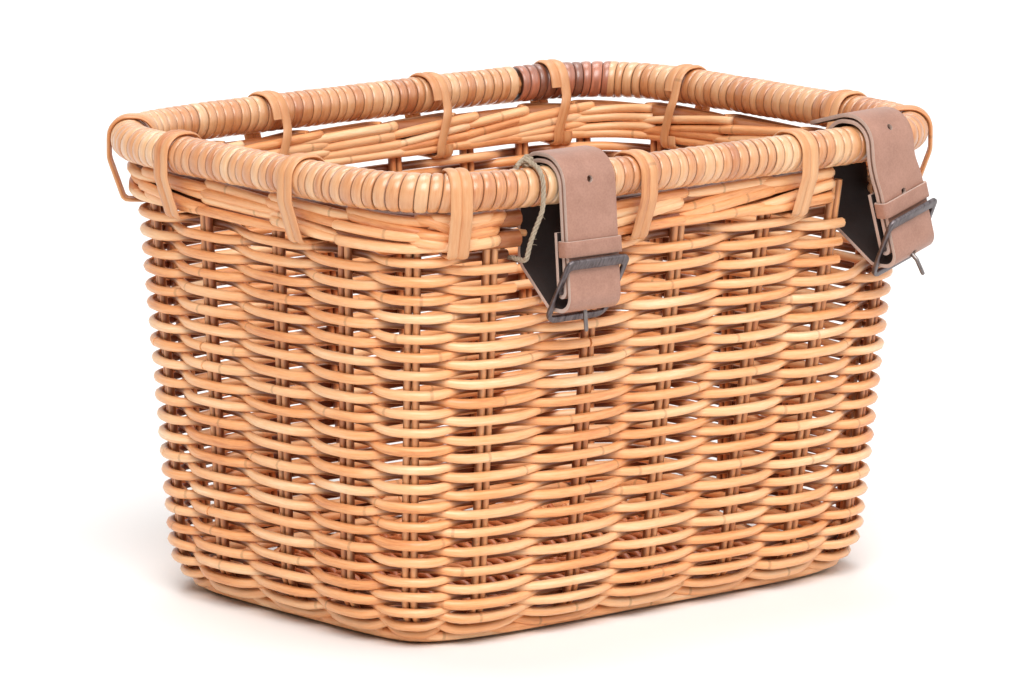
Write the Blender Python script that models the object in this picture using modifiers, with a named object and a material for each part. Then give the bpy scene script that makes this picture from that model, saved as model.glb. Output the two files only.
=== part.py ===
"""Wicker carrier basket with two buckled leather straps on one long side.

One object for each piece, in metres, +Z up. The strap side faces -Y and the floor is at zero.
Places round the basket are shares of the plan's length, counted from the near left corner
(low X, low Y) along the strap side first.
"""
import math
from bisect import bisect_right

import bmesh
import bpy
from mathutils import Matrix, Vector

# Plan of the basket
RIM_HALF_LENGTH = 0.1816
RIM_HALF_WIDTH = 0.1357
FOOT_HALF_LENGTH = 0.1690
FOOT_HALF_WIDTH = 0.1175
PLAN_EXPONENT = 5.5
PLAN_POINTS = 56
OUTLINE_STEPS = 720

# Gaps between pieces that touch
CLEARANCE = 0.0003
SEAT_GAP = 0.0004
OVERRUN = 0.002
WELD = 0.00001

# Rim hoop and its wrapping strip
RIM_HEIGHT = 0.2337
RIM_RADIUS = 0.0100
RIM_CORE_RADIUS = 0.0058
DARK_BINDING_SHARES = (0.495, 0.545)
TUBE_RESOLUTION = 2

# Woven wall and foot
WEAVER_DIAMETER = 0.0045
STAKE_THICKNESS = 0.0043
STAKE_PAIR_WIDTH = 0.0086
STAKE_ROOT = 0.003
STAKE_SOCKET = 0.012
WALL_SETBACK = 0.0021
WEAVE_ROWS = 31
WEAVE_RELIEF = 0.0026
BEND_STEP = math.radians(17)
FOOT_RADIUS = 0.0287
FOOT_ARC_STEPS = 3
STAKE_SHARES = (0.810, 0.853, 0.903, 0.948, 0.988, 0.027, 0.085, 0.134, 0.186, 0.2297, 0.278,
                0.322, 0.368, 0.414, 0.4655, 0.5085, 0.5445, 0.578, 0.622, 0.667, 0.717, 0.764)

# Border under the rim
BORDER_HEIGHT = 0.020
BORDER_THICKNESS = 0.017
BORDER_OVERHANG = 0.0016
BORDER_ROUND = 0.004

# Base sticks
STICK_RADIUS = 0.0030
STICK_PITCH = 0.024
STICK_SETBACK = 0.014
STICK_COUNT = 7
STICK_SIDES = 8

# Cane lashings: two loops of one cane round the rim and the border
LASHING_RADIUS = 0.0021
LASHING_PITCH = 0.0047
LASHING_SHOULDER = 0.008
LASHING_CORNER = 0.003
LASHING_STEP_SHARES = (0.84, 1.0)
LASHING_END_SHARE = 0.80
LASHING_SHARES = (
    ("near_corner", 0.008), ("strap_side_left", 0.102), ("strap_side_right", 0.197),
    ("right_corner", 0.290), ("right_side_front", 0.345), ("right_side_back", 0.451),
    ("back_corner", 0.525), ("back_side_right", 0.5975), ("back_side_left", 0.693),
    ("left_corner", 0.788), ("left_side_back", 0.8425), ("left_side_front", 0.927),
)

# Leather straps
STRAP_WIDTH = 0.032
STRAP_THICKNESS = 0.0020
STRAP_RIM_GAP = 0.0010
STRAP_LAYER_GAP = 0.0012
STRAP_WALL_GAP = 0.0026
FOLD_LENGTH = 0.029
SLOT_BEND_DROP = 0.0402
SLOT_BEND_RADIUS = 0.010
TURN_DROP = 0.0606
TURN_OUT = 0.0046
TURN_BACK_RADIUS = 0.005
TURN_FRONT_RADIUS = 0.007
TIP_END_SEGMENT = 0.005
TIP_WIDTH_SHARES = (1.0, 0.86, 0.5)
HOLE_PITCH = 0.034
HOLE_RADIUS = 0.0018
PRONG_HOLE_RADIUS = 0.0025
STRAP_STEP = 0.006
LEAN_DROP = 0.022
ARC_STEP = math.radians(30)
CANE_ARC_STEP = math.radians(45)

# Keeper loops
KEEPER_THICKNESS = 0.0016
KEEPER_HEIGHT = 0.008
KEEPER_RISE = 0.021
KEEPER_GAP = 0.0003

# Stitching that closes each strap's fold
THREAD_RADIUS = 0.00035
THREAD_RISE = 0.0095
THREAD_HOLE_RADIUS = 0.0006
THREAD_GAP = 0.00015
STITCH_PITCH = 0.0045
STITCH_COUNT = 6

# Buckles: the centre bar's place is measured from the rim's centre
BAR_OUT = 0.014
BAR_DROP = 0.051
BAR_RADIUS = 0.0013
FRAME_WIDTH = 0.040
FRAME_HEIGHT = 0.0384
FRAME_THICKNESS = 0.0020
FRAME_SIDE = 0.0030
FRAME_TOP_BAR = 0.0055
FRAME_BOTTOM_BAR = 0.0040
FRAME_CORNER = 0.004
FRAME_EDGE = 0.0004
FRAME_TILT = math.radians(29.7)
PRONG_RADIUS = 0.0011
PRONG_LENGTH = 0.0212
PRONG_KNEE_SHARE = 0.6
PRONG_EYE_GAP = 0.0002
PRONG_SLOT_ROOM = 0.0004

# Jute tie beside the near strap
TIE_RADIUS = 0.00135
TIE_SLOT_DROP = 0.0055
TIE_SEGMENT = 0.004

# Slots in the wall, from the middle of each strap, and the ends of the straps' tips past the rim
NEAR_SLOT_LEFT = -0.0305
NEAR_SLOT_RIGHT = 0.0168
NEAR_SLOT_DEPTH = 0.026
NEAR_TIP_BEND = 0.0125
NEAR_TIP_RADIUS = 0.010
NEAR_TIP_OUT = -0.0185
NEAR_TIP_UP = -0.0020
FAR_SLOT_LEFT = -0.0120
FAR_SLOT_RIGHT = 0.0312
FAR_SLOT_DEPTH = 0.031
FAR_TIP_BEND = 0.004
FAR_TIP_RADIUS = 0.020
FAR_TIP_OUT = -0.0305
FAR_TIP_UP = 0.0075

# Each strap: place on the rim, lean in its own plane, prong angle from straight down, turn of its
# hole from there, bend of its point, the slot, and the bend and end of the tip past the rim
STRAPS = {
    "near": {"share": 0.0645, "lean": 0.0, "prong": math.radians(7),
             "hole_shift": math.radians(5), "prong_bend": 0.0,
             "slot": (NEAR_SLOT_LEFT, NEAR_SLOT_RIGHT), "slot_depth": NEAR_SLOT_DEPTH,
             "tip_bend": NEAR_TIP_BEND, "tip_radius": NEAR_TIP_RADIUS,
             "tip_end": (NEAR_TIP_OUT, NEAR_TIP_UP)},
    "far": {"share": 0.244, "lean": math.radians(-13.5), "prong": math.radians(43),
            "hole_shift": math.radians(5), "prong_bend": math.radians(-22),
            "slot": (FAR_SLOT_LEFT, FAR_SLOT_RIGHT), "slot_depth": FAR_SLOT_DEPTH,
            "tip_bend": FAR_TIP_BEND, "tip_radius": FAR_TIP_RADIUS,
            "tip_end": (FAR_TIP_OUT, FAR_TIP_UP)},
}

# Sizes worked out from the ones above
WALL_THICKNESS = 2 * WEAVER_DIAMETER + STAKE_THICKNESS
BORDER_TOP = RIM_HEIGHT - RIM_RADIUS - SEAT_GAP
BORDER_BOTTOM = BORDER_TOP - BORDER_HEIGHT
WALL_TOP = BORDER_BOTTOM - SEAT_GAP
BORDER_INSET = BORDER_THICKNESS - BORDER_OVERHANG

CANE_COLOUR = (0.74, 0.38, 0.13)
CANE_DARK_COLOUR = (0.22, 0.07, 0.025)
CANE_INNER_COLOUR = (0.45, 0.20, 0.07)
LEATHER_COLOUR = (0.38, 0.18, 0.12)
METAL_COLOUR = (0.10, 0.085, 0.085)
NICKEL_COLOUR = (0.45, 0.43, 0.42)
THREAD_COLOUR = (0.55, 0.42, 0.28)
JUTE_COLOUR = (0.52, 0.38, 0.22)


def clear_scene():
    """Remove the scene's objects."""
    for item in list(bpy.data.objects):
        bpy.data.objects.remove(item, do_unlink=True)


def new_collection(name):
    """Collection in the scene."""
    group = bpy.data.collections.new(name)
    bpy.context.scene.collection.children.link(group)
    return group


def material(name, colour, roughness, metallic=0.0):
    """Plain surface in one colour."""
    made = bpy.data.materials.new(name)
    made.use_nodes = True
    shader = made.node_tree.nodes["Principled BSDF"]
    shader.inputs["Base Color"].default_value = (*colour, 1.0)
    shader.inputs["Roughness"].default_value = roughness
    shader.inputs["Metallic"].default_value = metallic
    return made


def place_object(name, data, group, look=None, parent=None):
    """Object in its collection, under its parent, with its own material."""
    item = bpy.data.objects.new(name, data)
    group.objects.link(item)
    if look:
        data.materials.append(material(name, *look))
    if parent:
        item.parent = parent
    return item


def hide_cutter(item):
    """Cutters show as wires and stay out of renders."""
    item.hide_render = True
    item.display_type = "WIRE"


class Plan:
    """Bowed rectangle with wide corners, read at shares of its length."""

    def __init__(self, half_length, half_width):
        self.half_length = half_length
        self.half_width = half_width
        self.points = []
        start = math.atan2(-half_width, -half_length)
        for step in range(OUTLINE_STEPS + 1):
            angle = start + 2 * math.pi * step / OUTLINE_STEPS
            along = abs(math.cos(angle) / half_length) ** PLAN_EXPONENT
            across = abs(math.sin(angle) / half_width) ** PLAN_EXPONENT
            reach = (along + across) ** (-1 / PLAN_EXPONENT)
            self.points.append(Vector((reach * math.cos(angle), reach * math.sin(angle), 0)))
        self.lengths = [0]
        for first, second in zip(self.points, self.points[1:]):
            self.lengths.append(self.lengths[-1] + (second - first).length)

    def place(self, share):
        """Point, outward normal and tangent at a share of the way round."""
        target = (share % 1) * self.lengths[-1]
        index = min(bisect_right(self.lengths, target), OUTLINE_STEPS) - 1
        span = self.lengths[index + 1] - self.lengths[index]
        point = self.points[index].lerp(self.points[index + 1], (target - self.lengths[index]) / span)
        along = point.x / self.half_length
        across = point.y / self.half_width
        power = PLAN_EXPONENT - 1
        normal = Vector((math.copysign(abs(along) ** power, along) / self.half_length,
                         math.copysign(abs(across) ** power, across) / self.half_width, 0))
        normal.normalize()
        return point, normal, Vector((-normal.y, normal.x, 0))


RIM_PLAN = Plan(RIM_HALF_LENGTH, RIM_HALF_WIDTH)
FOOT_PLAN = Plan(FOOT_HALF_LENGTH, FOOT_HALF_WIDTH)
TOP_PLAN = Plan(RIM_HALF_LENGTH - WALL_SETBACK, RIM_HALF_WIDTH - WALL_SETBACK)


def at_height(point, height):
    """The same point at a height."""
    return Vector((point.x, point.y, height))


def rim_place(share, height, depth):
    """Point at a depth inside the rim's centre line."""
    point, normal, _ = RIM_PLAN.place(share)
    return at_height(point - normal * depth, height)


def wall_place(share, height, depth):
    """Point at a depth behind the wall's outer face, on the straight line up the wall."""
    point, normal, _ = FOOT_PLAN.place(share)
    lower = point - normal * depth
    point, normal, _ = TOP_PLAN.place(share)
    upper = point - normal * depth
    rise = max(height - FOOT_RADIUS, 0) / (WALL_TOP - FOOT_RADIUS)
    return at_height(lower.lerp(upper, rise), height)


def on_ring(place, share, height, depth):
    """Point on the straight edge between a ring's two neighbouring sections."""
    step = math.floor(share * PLAN_POINTS)
    low = place(step / PLAN_POINTS, height, depth)
    high = place((step + 1) / PLAN_POINTS, height, depth)
    return low.lerp(high, share * PLAN_POINTS - step)


def grid_mesh(name, rows):
    """Surface through rows of points; ends that meet are welded."""
    mesh = bpy.data.meshes.new(name)
    shape = bmesh.new()
    columns = len(rows[0])
    bmesh.ops.create_grid(shape, x_segments=columns - 1, y_segments=len(rows) - 1, size=1)
    shape.verts.ensure_lookup_table()
    for index, vert in enumerate(shape.verts):
        vert.co = rows[index // columns][index % columns]
    bmesh.ops.remove_doubles(shape, verts=shape.verts, dist=WELD)
    bmesh.ops.recalc_face_normals(shape, faces=shape.faces)
    shape.to_mesh(mesh)
    shape.free()
    return mesh


def ring_mesh(name, section, place):
    """Closed section, as pairs of depth and height, carried round the basket."""
    rows = []
    for depth, height in section + section[:1]:
        rows.append([place(step / PLAN_POINTS, height, depth) for step in range(PLAN_POINTS + 1)])
    return grid_mesh(name, rows)


def solidify(item, thickness):
    """Even thickness on both sides of an open surface."""
    change = item.modifiers.new("thickness", "SOLIDIFY")
    change.thickness = thickness
    change.offset = 0
    change.use_even_offset = True


def bevel(item, width, segments=1):
    """Rounded edges."""
    change = item.modifiers.new("edges", "BEVEL")
    change.width = width
    change.segments = segments
    change.limit_method = "ANGLE"


def boolean(item, other, operation="DIFFERENCE"):
    """Cut or join with another object."""
    change = item.modifiers.new(other.name, "BOOLEAN")
    change.operation = operation
    change.solver = "EXACT"
    change.object = other


def tube_curve(name, points, radius, closed=False, resolution=TUBE_RESOLUTION):
    """Round tube along points."""
    curve = bpy.data.curves.new(name, "CURVE")
    curve.dimensions = "3D"
    curve.twist_mode = "MINIMUM"
    curve.bevel_depth = radius
    curve.bevel_resolution = resolution
    curve.use_fill_caps = not closed
    spline = curve.splines.new("POLY")
    spline.points.add(len(points) - 1)
    for target, point in zip(spline.points, points):
        target.co = (*point, 1)
    spline.use_cyclic_u = closed
    return curve


def settle(item):
    """Replace a curve by a welded mesh of the same shape, so that it can be cut or joined."""
    bpy.context.view_layer.update()
    evaluated = item.evaluated_get(bpy.context.evaluated_depsgraph_get())
    mesh = bpy.data.meshes.new_from_object(evaluated)
    shape = bmesh.new()
    shape.from_mesh(mesh)
    bmesh.ops.remove_doubles(shape, verts=shape.verts, dist=WELD)
    bmesh.ops.recalc_face_normals(shape, faces=shape.faces)
    shape.to_mesh(mesh)
    shape.free()
    solid = bpy.data.objects.new(item.name, mesh)
    solid.parent = item.parent
    solid.matrix_basis = item.matrix_basis
    item.users_collection[0].objects.link(solid)
    name = item.name
    bpy.data.objects.remove(item, do_unlink=True)
    solid.name = name
    return solid


def box_mesh(name, low, high):
    """Box between two corners."""
    mesh = bpy.data.meshes.new(name)
    shape = bmesh.new()
    bmesh.ops.create_cube(shape, size=1)
    size = Vector(high) - Vector(low)
    middle = (Vector(high) + Vector(low)) / 2
    bmesh.ops.transform(shape, matrix=Matrix.Translation(middle) @ Matrix.Diagonal((*size, 1)),
                        verts=shape.verts)
    shape.to_mesh(mesh)
    shape.free()
    return mesh


def cylinder_mesh(name, start, end, radius, sides=STICK_SIDES):
    """Cylinder between two points."""
    mesh = bpy.data.meshes.new(name)
    shape = bmesh.new()
    run = Vector(end) - Vector(start)
    turn = run.to_track_quat("Z", "Y").to_matrix().to_4x4()
    matrix = Matrix.Translation((Vector(start) + Vector(end)) / 2) @ turn
    bmesh.ops.create_cone(shape, cap_ends=True, segments=sides, radius1=radius, radius2=radius,
                          depth=run.length, matrix=matrix)
    shape.to_mesh(mesh)
    shape.free()
    return mesh


def joined_mesh(name, meshes):
    """One mesh of several separate closed shapes, for a cutter."""
    shape = bmesh.new()
    for mesh in meshes:
        shape.from_mesh(mesh)
    joined = bpy.data.meshes.new(name)
    shape.to_mesh(joined)
    shape.free()
    return joined


def filleted(corners, radii, closed=False, arc_step=ARC_STEP):
    """Polyline through corners in a plane, each rounded with its radius."""
    points = []
    count = len(corners)
    for index, (corner, radius) in enumerate(zip(corners, radii)):
        if not closed and index in (0, count - 1):
            points.append(Vector(corner))
            continue
        here = Vector(corner)
        back = (Vector(corners[index - 1]) - here).normalized()
        ahead = (Vector(corners[(index + 1) % count]) - here).normalized()
        half = back.angle(ahead) / 2
        middle = here + (back + ahead).normalized() * radius / math.sin(half)
        first = here + back * radius / math.tan(half) - middle
        turn = math.pi - 2 * half
        sense = 1 if back.x * ahead.y - back.y * ahead.x < 0 else -1
        steps = max(1, math.ceil(turn / arc_step))
        for step in range(steps + 1):
            spin = Matrix.Rotation(sense * turn * step / steps, 2)
            points.append(middle + spin @ first)
    return points


def running_lengths(points):
    """Length along a polyline up to each of its points."""
    lengths = [0]
    for first, second in zip(points, points[1:]):
        lengths.append(lengths[-1] + (second - first).length)
    return lengths


def along_path(points, distance):
    """Point and direction at a distance along a polyline."""
    lengths = running_lengths(points)
    index = min(max(bisect_right(lengths, distance), 1), len(points) - 1) - 1
    run = points[index + 1] - points[index]
    return points[index] + run.normalized() * (distance - lengths[index]), run.normalized()


def least_gap(points, radius, window):
    """Least gap of a tube to itself, between points further apart along it than the window."""
    lengths = running_lengths(points)
    gaps = []
    for first, start in enumerate(points):
        for second in range(first + 1, len(points)):
            if lengths[second] - lengths[first] > window:
                gaps.append((points[second] - start).length - 2 * radius)
    return min(gaps)


def make_base(group, cutters, channels):
    """Woven base with the sticks that run through it lengthwise."""
    inset = FOOT_RADIUS + SEAT_GAP
    loop = [wall_place(step / PLAN_POINTS, 0, inset) for step in range(PLAN_POINTS)]
    mesh = bpy.data.meshes.new("base_weave")
    shape = bmesh.new()
    face = shape.faces.new([shape.verts.new(point) for point in loop])
    raised = bmesh.ops.extrude_face_region(shape, geom=[face])
    verts = [item for item in raised["geom"] if isinstance(item, bmesh.types.BMVert)]
    bmesh.ops.translate(shape, vec=(0, 0, WALL_THICKNESS), verts=verts)
    bmesh.ops.recalc_face_normals(shape, faces=shape.faces)
    shape.to_mesh(mesh)
    shape.free()
    base = place_object("base_weave", mesh, group, (CANE_COLOUR, 0.55))
    boolean(base, channels)
    half_length = FOOT_HALF_LENGTH - inset
    half_width = FOOT_HALF_WIDTH - inset
    bores = []
    for number in range(STICK_COUNT):
        across = STICK_PITCH * (number - (STICK_COUNT - 1) / 2)
        edge = half_length * (1 - abs(across / half_width) ** PLAN_EXPONENT) ** (1 / PLAN_EXPONENT)
        reach = edge - STICK_SETBACK
        level = WALL_THICKNESS / 2
        stick = cylinder_mesh("stick", (-reach, across, level), (reach, across, level), STICK_RADIUS)
        place_object(f"base_stick_{number + 1}", stick, group, (CANE_INNER_COLOUR, 0.6))
        far = half_length + OVERRUN
        bores.append(cylinder_mesh("bore", (-far, across, level), (far, across, level),
                                   STICK_RADIUS + CLEARANCE))
    cutter = place_object("stick_bores", joined_mesh("stick_bores", bores), cutters)
    hide_cutter(cutter)
    boolean(base, cutter)


def make_foot(group, channels):
    """Rounded foot of upsett rows that turns from the base into the wall."""
    section = []
    inner = FOOT_RADIUS - WALL_THICKNESS
    for step in range(FOOT_ARC_STEPS + 1):
        angle = math.pi / 2 * step / FOOT_ARC_STEPS
        section.append((FOOT_RADIUS * (1 - math.sin(angle)), FOOT_RADIUS * (1 - math.cos(angle))))
    for step in range(FOOT_ARC_STEPS, -1, -1):
        angle = math.pi / 2 * step / FOOT_ARC_STEPS
        section.append((FOOT_RADIUS - inner * math.sin(angle), FOOT_RADIUS - inner * math.cos(angle)))
    foot = place_object("foot_upsett", ring_mesh("foot_upsett", section, wall_place), group,
                        (CANE_COLOUR, 0.55))
    boolean(foot, channels)


def wall_columns():
    """Share of each upright line of the wall, and its swing from -1 to 1: at every stake pair, and
    between them where the wall bends."""
    shares = sorted(STAKE_SHARES)
    shares.append(shares[0] + 1)
    columns = []
    for number, (share, after) in enumerate(zip(shares, shares[1:])):
        turn = wall_normal(share).angle(wall_normal(after))
        steps = math.ceil(turn / BEND_STEP)
        for step in range(steps):
            part = step / steps
            swing = math.cos(math.pi * part) * (1 if number % 2 else -1)
            columns.append((share + (after - share) * part, swing))
    return columns + [(shares[-1], columns[0][1])]


def wall_normal(share):
    """Outward direction of the wall's plan."""
    return TOP_PLAN.place(share)[1]


def make_wall(group, channels, notches):
    """Woven wall: each row passes over and under the stake pairs, and stands out where it passes over.

    It has a channel for each pair of stakes and the strap slots.
    """
    low = FOOT_RADIUS + SEAT_GAP
    columns = wall_columns()
    rows = []
    for row in range(WEAVE_ROWS + 1):
        height = low + (WALL_TOP - low) * row / WEAVE_ROWS
        sense = 1 if row % 2 else -1
        rows.append([wall_place(share, height, WEAVE_RELIEF * (1 - sense * swing) / 2)
                     for share, swing in columns])
    for height in (WALL_TOP, low):
        rows.append([wall_place(share, height, WALL_THICKNESS) for share, _ in columns])
    rows.append(rows[0])
    wall = place_object("woven_wall", grid_mesh("woven_wall", rows), group, (CANE_COLOUR, 0.5))
    boolean(wall, channels)
    boolean(wall, notches)


def make_border(group, channels):
    """Plaited border between the wall and the rim, with a socket for each pair of stakes."""
    outer = -BORDER_OVERHANG
    section = [(outer, BORDER_BOTTOM + BORDER_ROUND), (outer, BORDER_TOP - BORDER_ROUND),
               (outer + BORDER_ROUND, BORDER_TOP), (BORDER_INSET - BORDER_ROUND, BORDER_TOP),
               (BORDER_INSET, BORDER_TOP - BORDER_ROUND), (BORDER_INSET, BORDER_BOTTOM),
               (outer + BORDER_ROUND, BORDER_BOTTOM)]
    border = place_object("border_plait", ring_mesh("border_plait", section, rim_place), group,
                          (CANE_COLOUR, 0.5))
    boolean(border, channels)


def stake_rows(share, spare):
    """Left and right edge of a pair of stakes from its root in the base to its end in the border."""
    middle = WALL_THICKNESS / 2
    bend = FOOT_RADIUS - middle
    centres = [wall_place(share, middle, FOOT_RADIUS + STAKE_ROOT + spare)]
    for step in range(FOOT_ARC_STEPS + 1):
        angle = math.pi / 2 * step / FOOT_ARC_STEPS
        centres.append(wall_place(share, FOOT_RADIUS - bend * math.cos(angle),
                                  FOOT_RADIUS - bend * math.sin(angle)))
    centres.append(wall_place(share, BORDER_BOTTOM + STAKE_SOCKET + spare, middle))
    side = FOOT_PLAN.place(share)[2] * (STAKE_PAIR_WIDTH / 2 + spare)
    return [(centre - side, centre + side) for centre in centres]


def make_stakes(group):
    """Pairs of upright stakes, each pair one piece."""
    for number, share in enumerate(STAKE_SHARES):
        name = f"stake_pair_{number + 1:02d}"
        stake = place_object(name, grid_mesh(name, stake_rows(share, 0)), group, (CANE_INNER_COLOUR, 0.6))
        solidify(stake, STAKE_THICKNESS)


def make_channels(cutters):
    """Cutter for the channels of all the stakes."""
    meshes = []
    for share in STAKE_SHARES:
        item = place_object("channel", grid_mesh("channel", stake_rows(share, CLEARANCE)), cutters)
        solidify(item, STAKE_THICKNESS + 2 * CLEARANCE)
        meshes.append(settle(item))
    joined = joined_mesh("stake_channels", [item.data for item in meshes])
    for item in meshes:
        bpy.data.objects.remove(item, do_unlink=True)
    cutter = place_object("stake_channels", joined, cutters)
    hide_cutter(cutter)
    return cutter


def rim_run(start, end):
    """Points on the rim's centre line between two shares, at the corners of its core and the ends."""
    first = math.floor(start * PLAN_POINTS) + 1
    last = math.ceil(end * PLAN_POINTS)
    shares = [start] + [step / PLAN_POINTS for step in range(first, last)] + [end]
    return [on_ring(rim_place, share, RIM_HEIGHT, 0) for share in shares]


def make_rim(group):
    """Round core hoop and the two lengths of strip wrapped round it."""
    loop = [rim_place(step / PLAN_POINTS, RIM_HEIGHT, 0) for step in range(PLAN_POINTS)]
    core = tube_curve("rim_core", loop, RIM_CORE_RADIUS, closed=True)
    core.twist_mode = "Z_UP"
    place_object("rim_core", core, group, (CANE_INNER_COLOUR, 0.6))
    inner = RIM_CORE_RADIUS + SEAT_GAP
    end_gap = CLEARANCE / RIM_PLAN.lengths[-1]
    low, high = ((math.floor(share * PLAN_POINTS) + 1 / 2) / PLAN_POINTS for share in DARK_BINDING_SHARES)
    runs = (("rim_binding", high + end_gap, 1 + low, CANE_COLOUR),
            ("rim_binding_dark", low + end_gap, high, CANE_DARK_COLOUR))
    for name, start, end, colour in runs:
        curve = tube_curve(name, rim_run(start, end), (RIM_RADIUS + inner) / 2)
        curve.twist_mode = "Z_UP"
        curve.use_fill_caps = False
        binding = place_object(name, curve, group, (colour, 0.35))
        solidify(binding, RIM_RADIUS - inner)


def lashing_outline():
    """Closed path of one loop, in the plane across the rim: out from the rim's centre, and up."""
    reach = LASHING_RADIUS + SEAT_GAP
    round_rim = RIM_RADIUS + reach
    low = BORDER_BOTTOM - RIM_HEIGHT - reach
    inside = -BORDER_INSET - reach
    shoulder = BORDER_TOP - RIM_HEIGHT
    corners = [(inside, low + BORDER_HEIGHT / 3), (inside, low), (BORDER_OVERHANG + reach, low),
               (round_rim, shoulder), (round_rim, round_rim), (-round_rim, round_rim),
               (inside, shoulder)]
    radii = [0, LASHING_CORNER, LASHING_CORNER, LASHING_SHOULDER, RIM_RADIUS + LASHING_RADIUS,
             RIM_RADIUS + LASHING_RADIUS, LASHING_SHOULDER]
    return filleted(corners + corners[:1], radii + radii[:1], arc_step=CANE_ARC_STEP)


def lashing_points(share):
    """Two loops of cane side by side; the step between them lies on the basket's inside."""
    outline = lashing_outline()
    lengths = running_lengths(outline)
    normal = RIM_PLAN.place(share)[1]
    step_start, step_end = LASHING_STEP_SHARES
    points = []
    for loop, end in ((0, 1.0), (1, LASHING_END_SHARE)):
        for flat, length in zip(outline[:-1], lengths):
            part = length / lengths[-1]
            if part > end:
                break
            moved = min(max((part - step_start) / (step_end - step_start), 0), 1)
            side = LASHING_PITCH * (min(loop + moved, 1) - 0.5)
            centre = on_ring(rim_place, share + side / RIM_PLAN.lengths[-1], RIM_HEIGHT, 0)
            points.append(centre + normal * flat.x + Vector((0, 0, flat.y)))
    return points


def make_lashings(group):
    """Cane lashings that tie the rim to the border."""
    gaps = []
    for name, share in LASHING_SHARES:
        points = lashing_points(share)
        gaps.append(least_gap(points, LASHING_RADIUS, 4 * LASHING_PITCH))
        curve = tube_curve(f"lashing_{name}", points, LASHING_RADIUS, resolution=1)
        place_object(f"lashing_{name}", curve, group, (CANE_COLOUR, 0.4))
    print("least gap of a lashing to itself, mm:", round(1000 * min(gaps), 2))


def rim_frame(share, lean):
    """Matrix of a frame on the rim: X along it, -Y outwards, origin at the rim's centre."""
    point = on_ring(rim_place, share, RIM_HEIGHT, 0)
    normal = RIM_PLAN.place(share)[1]
    turn = Matrix.Rotation(math.atan2(normal.x, -normal.y), 4, "Z")
    return Matrix.Translation(point) @ turn @ Matrix.Rotation(lean, 4, "Y")


def strap_frame(name):
    """Matrix of a strap's own frame."""
    return rim_frame(STRAPS[name]["share"], STRAPS[name]["lean"])


def fold_sizes():
    """Radius of the fold round the bar, and its two directions in the plane of outward and up."""
    fold = BAR_RADIUS + PRONG_EYE_GAP + STRAP_THICKNESS / 2
    near_rim = RIM_RADIUS + STRAP_RIM_GAP + STRAP_THICKNESS / 2
    reach = math.hypot(BAR_OUT, BAR_DROP)
    angle = math.acos((near_rim - fold) / reach) - math.atan2(BAR_DROP, BAR_OUT)
    up = Vector((-math.sin(angle), math.cos(angle)))
    out = Vector((math.cos(angle), math.sin(angle)))
    return fold, near_rim, angle, up, out


def strap_path(data):
    """Centre line of the leather from its folded end to its tip, out from the rim's centre and up."""
    fold, near_rim, _, up, out = fold_sizes()
    bar = Vector((BAR_OUT, -BAR_DROP))
    apart = STRAP_THICKNESS + STRAP_LAYER_GAP
    far_rim = near_rim + apart
    inside = -BORDER_INSET - STRAP_WALL_GAP - STRAP_THICKNESS / 2
    slope = (far_rim - far_rim * out.y) / out.x
    turn = bar + out * (fold + apart)
    turn += up * ((-TURN_DROP - turn.y) / up.y)
    stops = [
        (bar - out * fold + up * FOLD_LENGTH, 0),
        (bar - out * fold - up * fold, fold),
        (bar + out * fold - up * fold, fold),
        (((near_rim - near_rim * out.y) / out.x, near_rim), near_rim),
        ((-near_rim, near_rim), near_rim),
        ((inside, BORDER_TOP - RIM_HEIGHT), SLOT_BEND_RADIUS),
        ((inside, -SLOT_BEND_DROP), SLOT_BEND_RADIUS),
        ((TURN_OUT, -TURN_DROP), TURN_BACK_RADIUS),
        (turn, TURN_FRONT_RADIUS),
        ((slope, far_rim), far_rim),
        ((-data["tip_bend"], far_rim), data["tip_radius"]),
        (data["tip_end"], 0),
    ]
    corners = [tuple(stop) for stop, _ in stops]
    radii = [radius for _, radius in stops]
    path = filleted(corners, radii)
    total = running_lengths(path)[-1]
    shaped = path[:1]
    for point in path[1:-1]:
        run = point - shaped[-1]
        steps = math.ceil(run.length / STRAP_STEP)
        shaped += [shaped[-1] + run * step / steps for step in range(1, steps + 1)]
    for back in range(len(TIP_WIDTH_SHARES) - 1, -1, -1):
        shaped.append(along_path(path, total - back * TIP_END_SEGMENT)[0])
    return shaped


def eased_lean(lean, height):
    """Turn that undoes the lean at the rim and fades out on the way down to the buckle."""
    part = min(max(-height / LEAN_DROP, 0), 1)
    return Matrix.Rotation(-lean * (1 - part * part * (3 - 2 * part)), 3, "Y")


def prong_line(angle):
    """Start of the prong's shank, beside its eye, and the direction in which it runs."""
    eye = BAR_RADIUS + PRONG_EYE_GAP + PRONG_RADIUS
    aim = Vector((math.sin(angle), -math.cos(angle)))
    return Vector((BAR_OUT, -BAR_DROP)) + Vector((aim.y, -aim.x)) * eye, aim


def crossing(path, start, direction):
    """Furthest place, as a distance along the path, where a ray passes through the leather."""
    lengths = running_lengths(path)
    found = []
    for index, (first, second) in enumerate(zip(path, path[1:])):
        run = second - first
        cross = direction.x * run.y - direction.y * run.x
        if not cross:
            continue
        gap = first - start
        ray = (gap.x * run.y - gap.y * run.x) / cross
        part = (gap.x * direction.y - gap.y * direction.x) / cross
        if 0 <= part <= 1 and ray > 0:
            found.append((ray, lengths[index] + part * run.length))
    return max(found)


def hole_cutter(point, run, radius):
    """Short cylinder through the leather at a point of its path."""
    across = Vector((run.y, -run.x)) * STRAP_THICKNESS
    ends = [Vector((0, -(point + side * across).x, (point + side * across).y)) for side in (-1, 1)]
    return cylinder_mesh("hole", ends[0], ends[1], radius)


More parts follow.
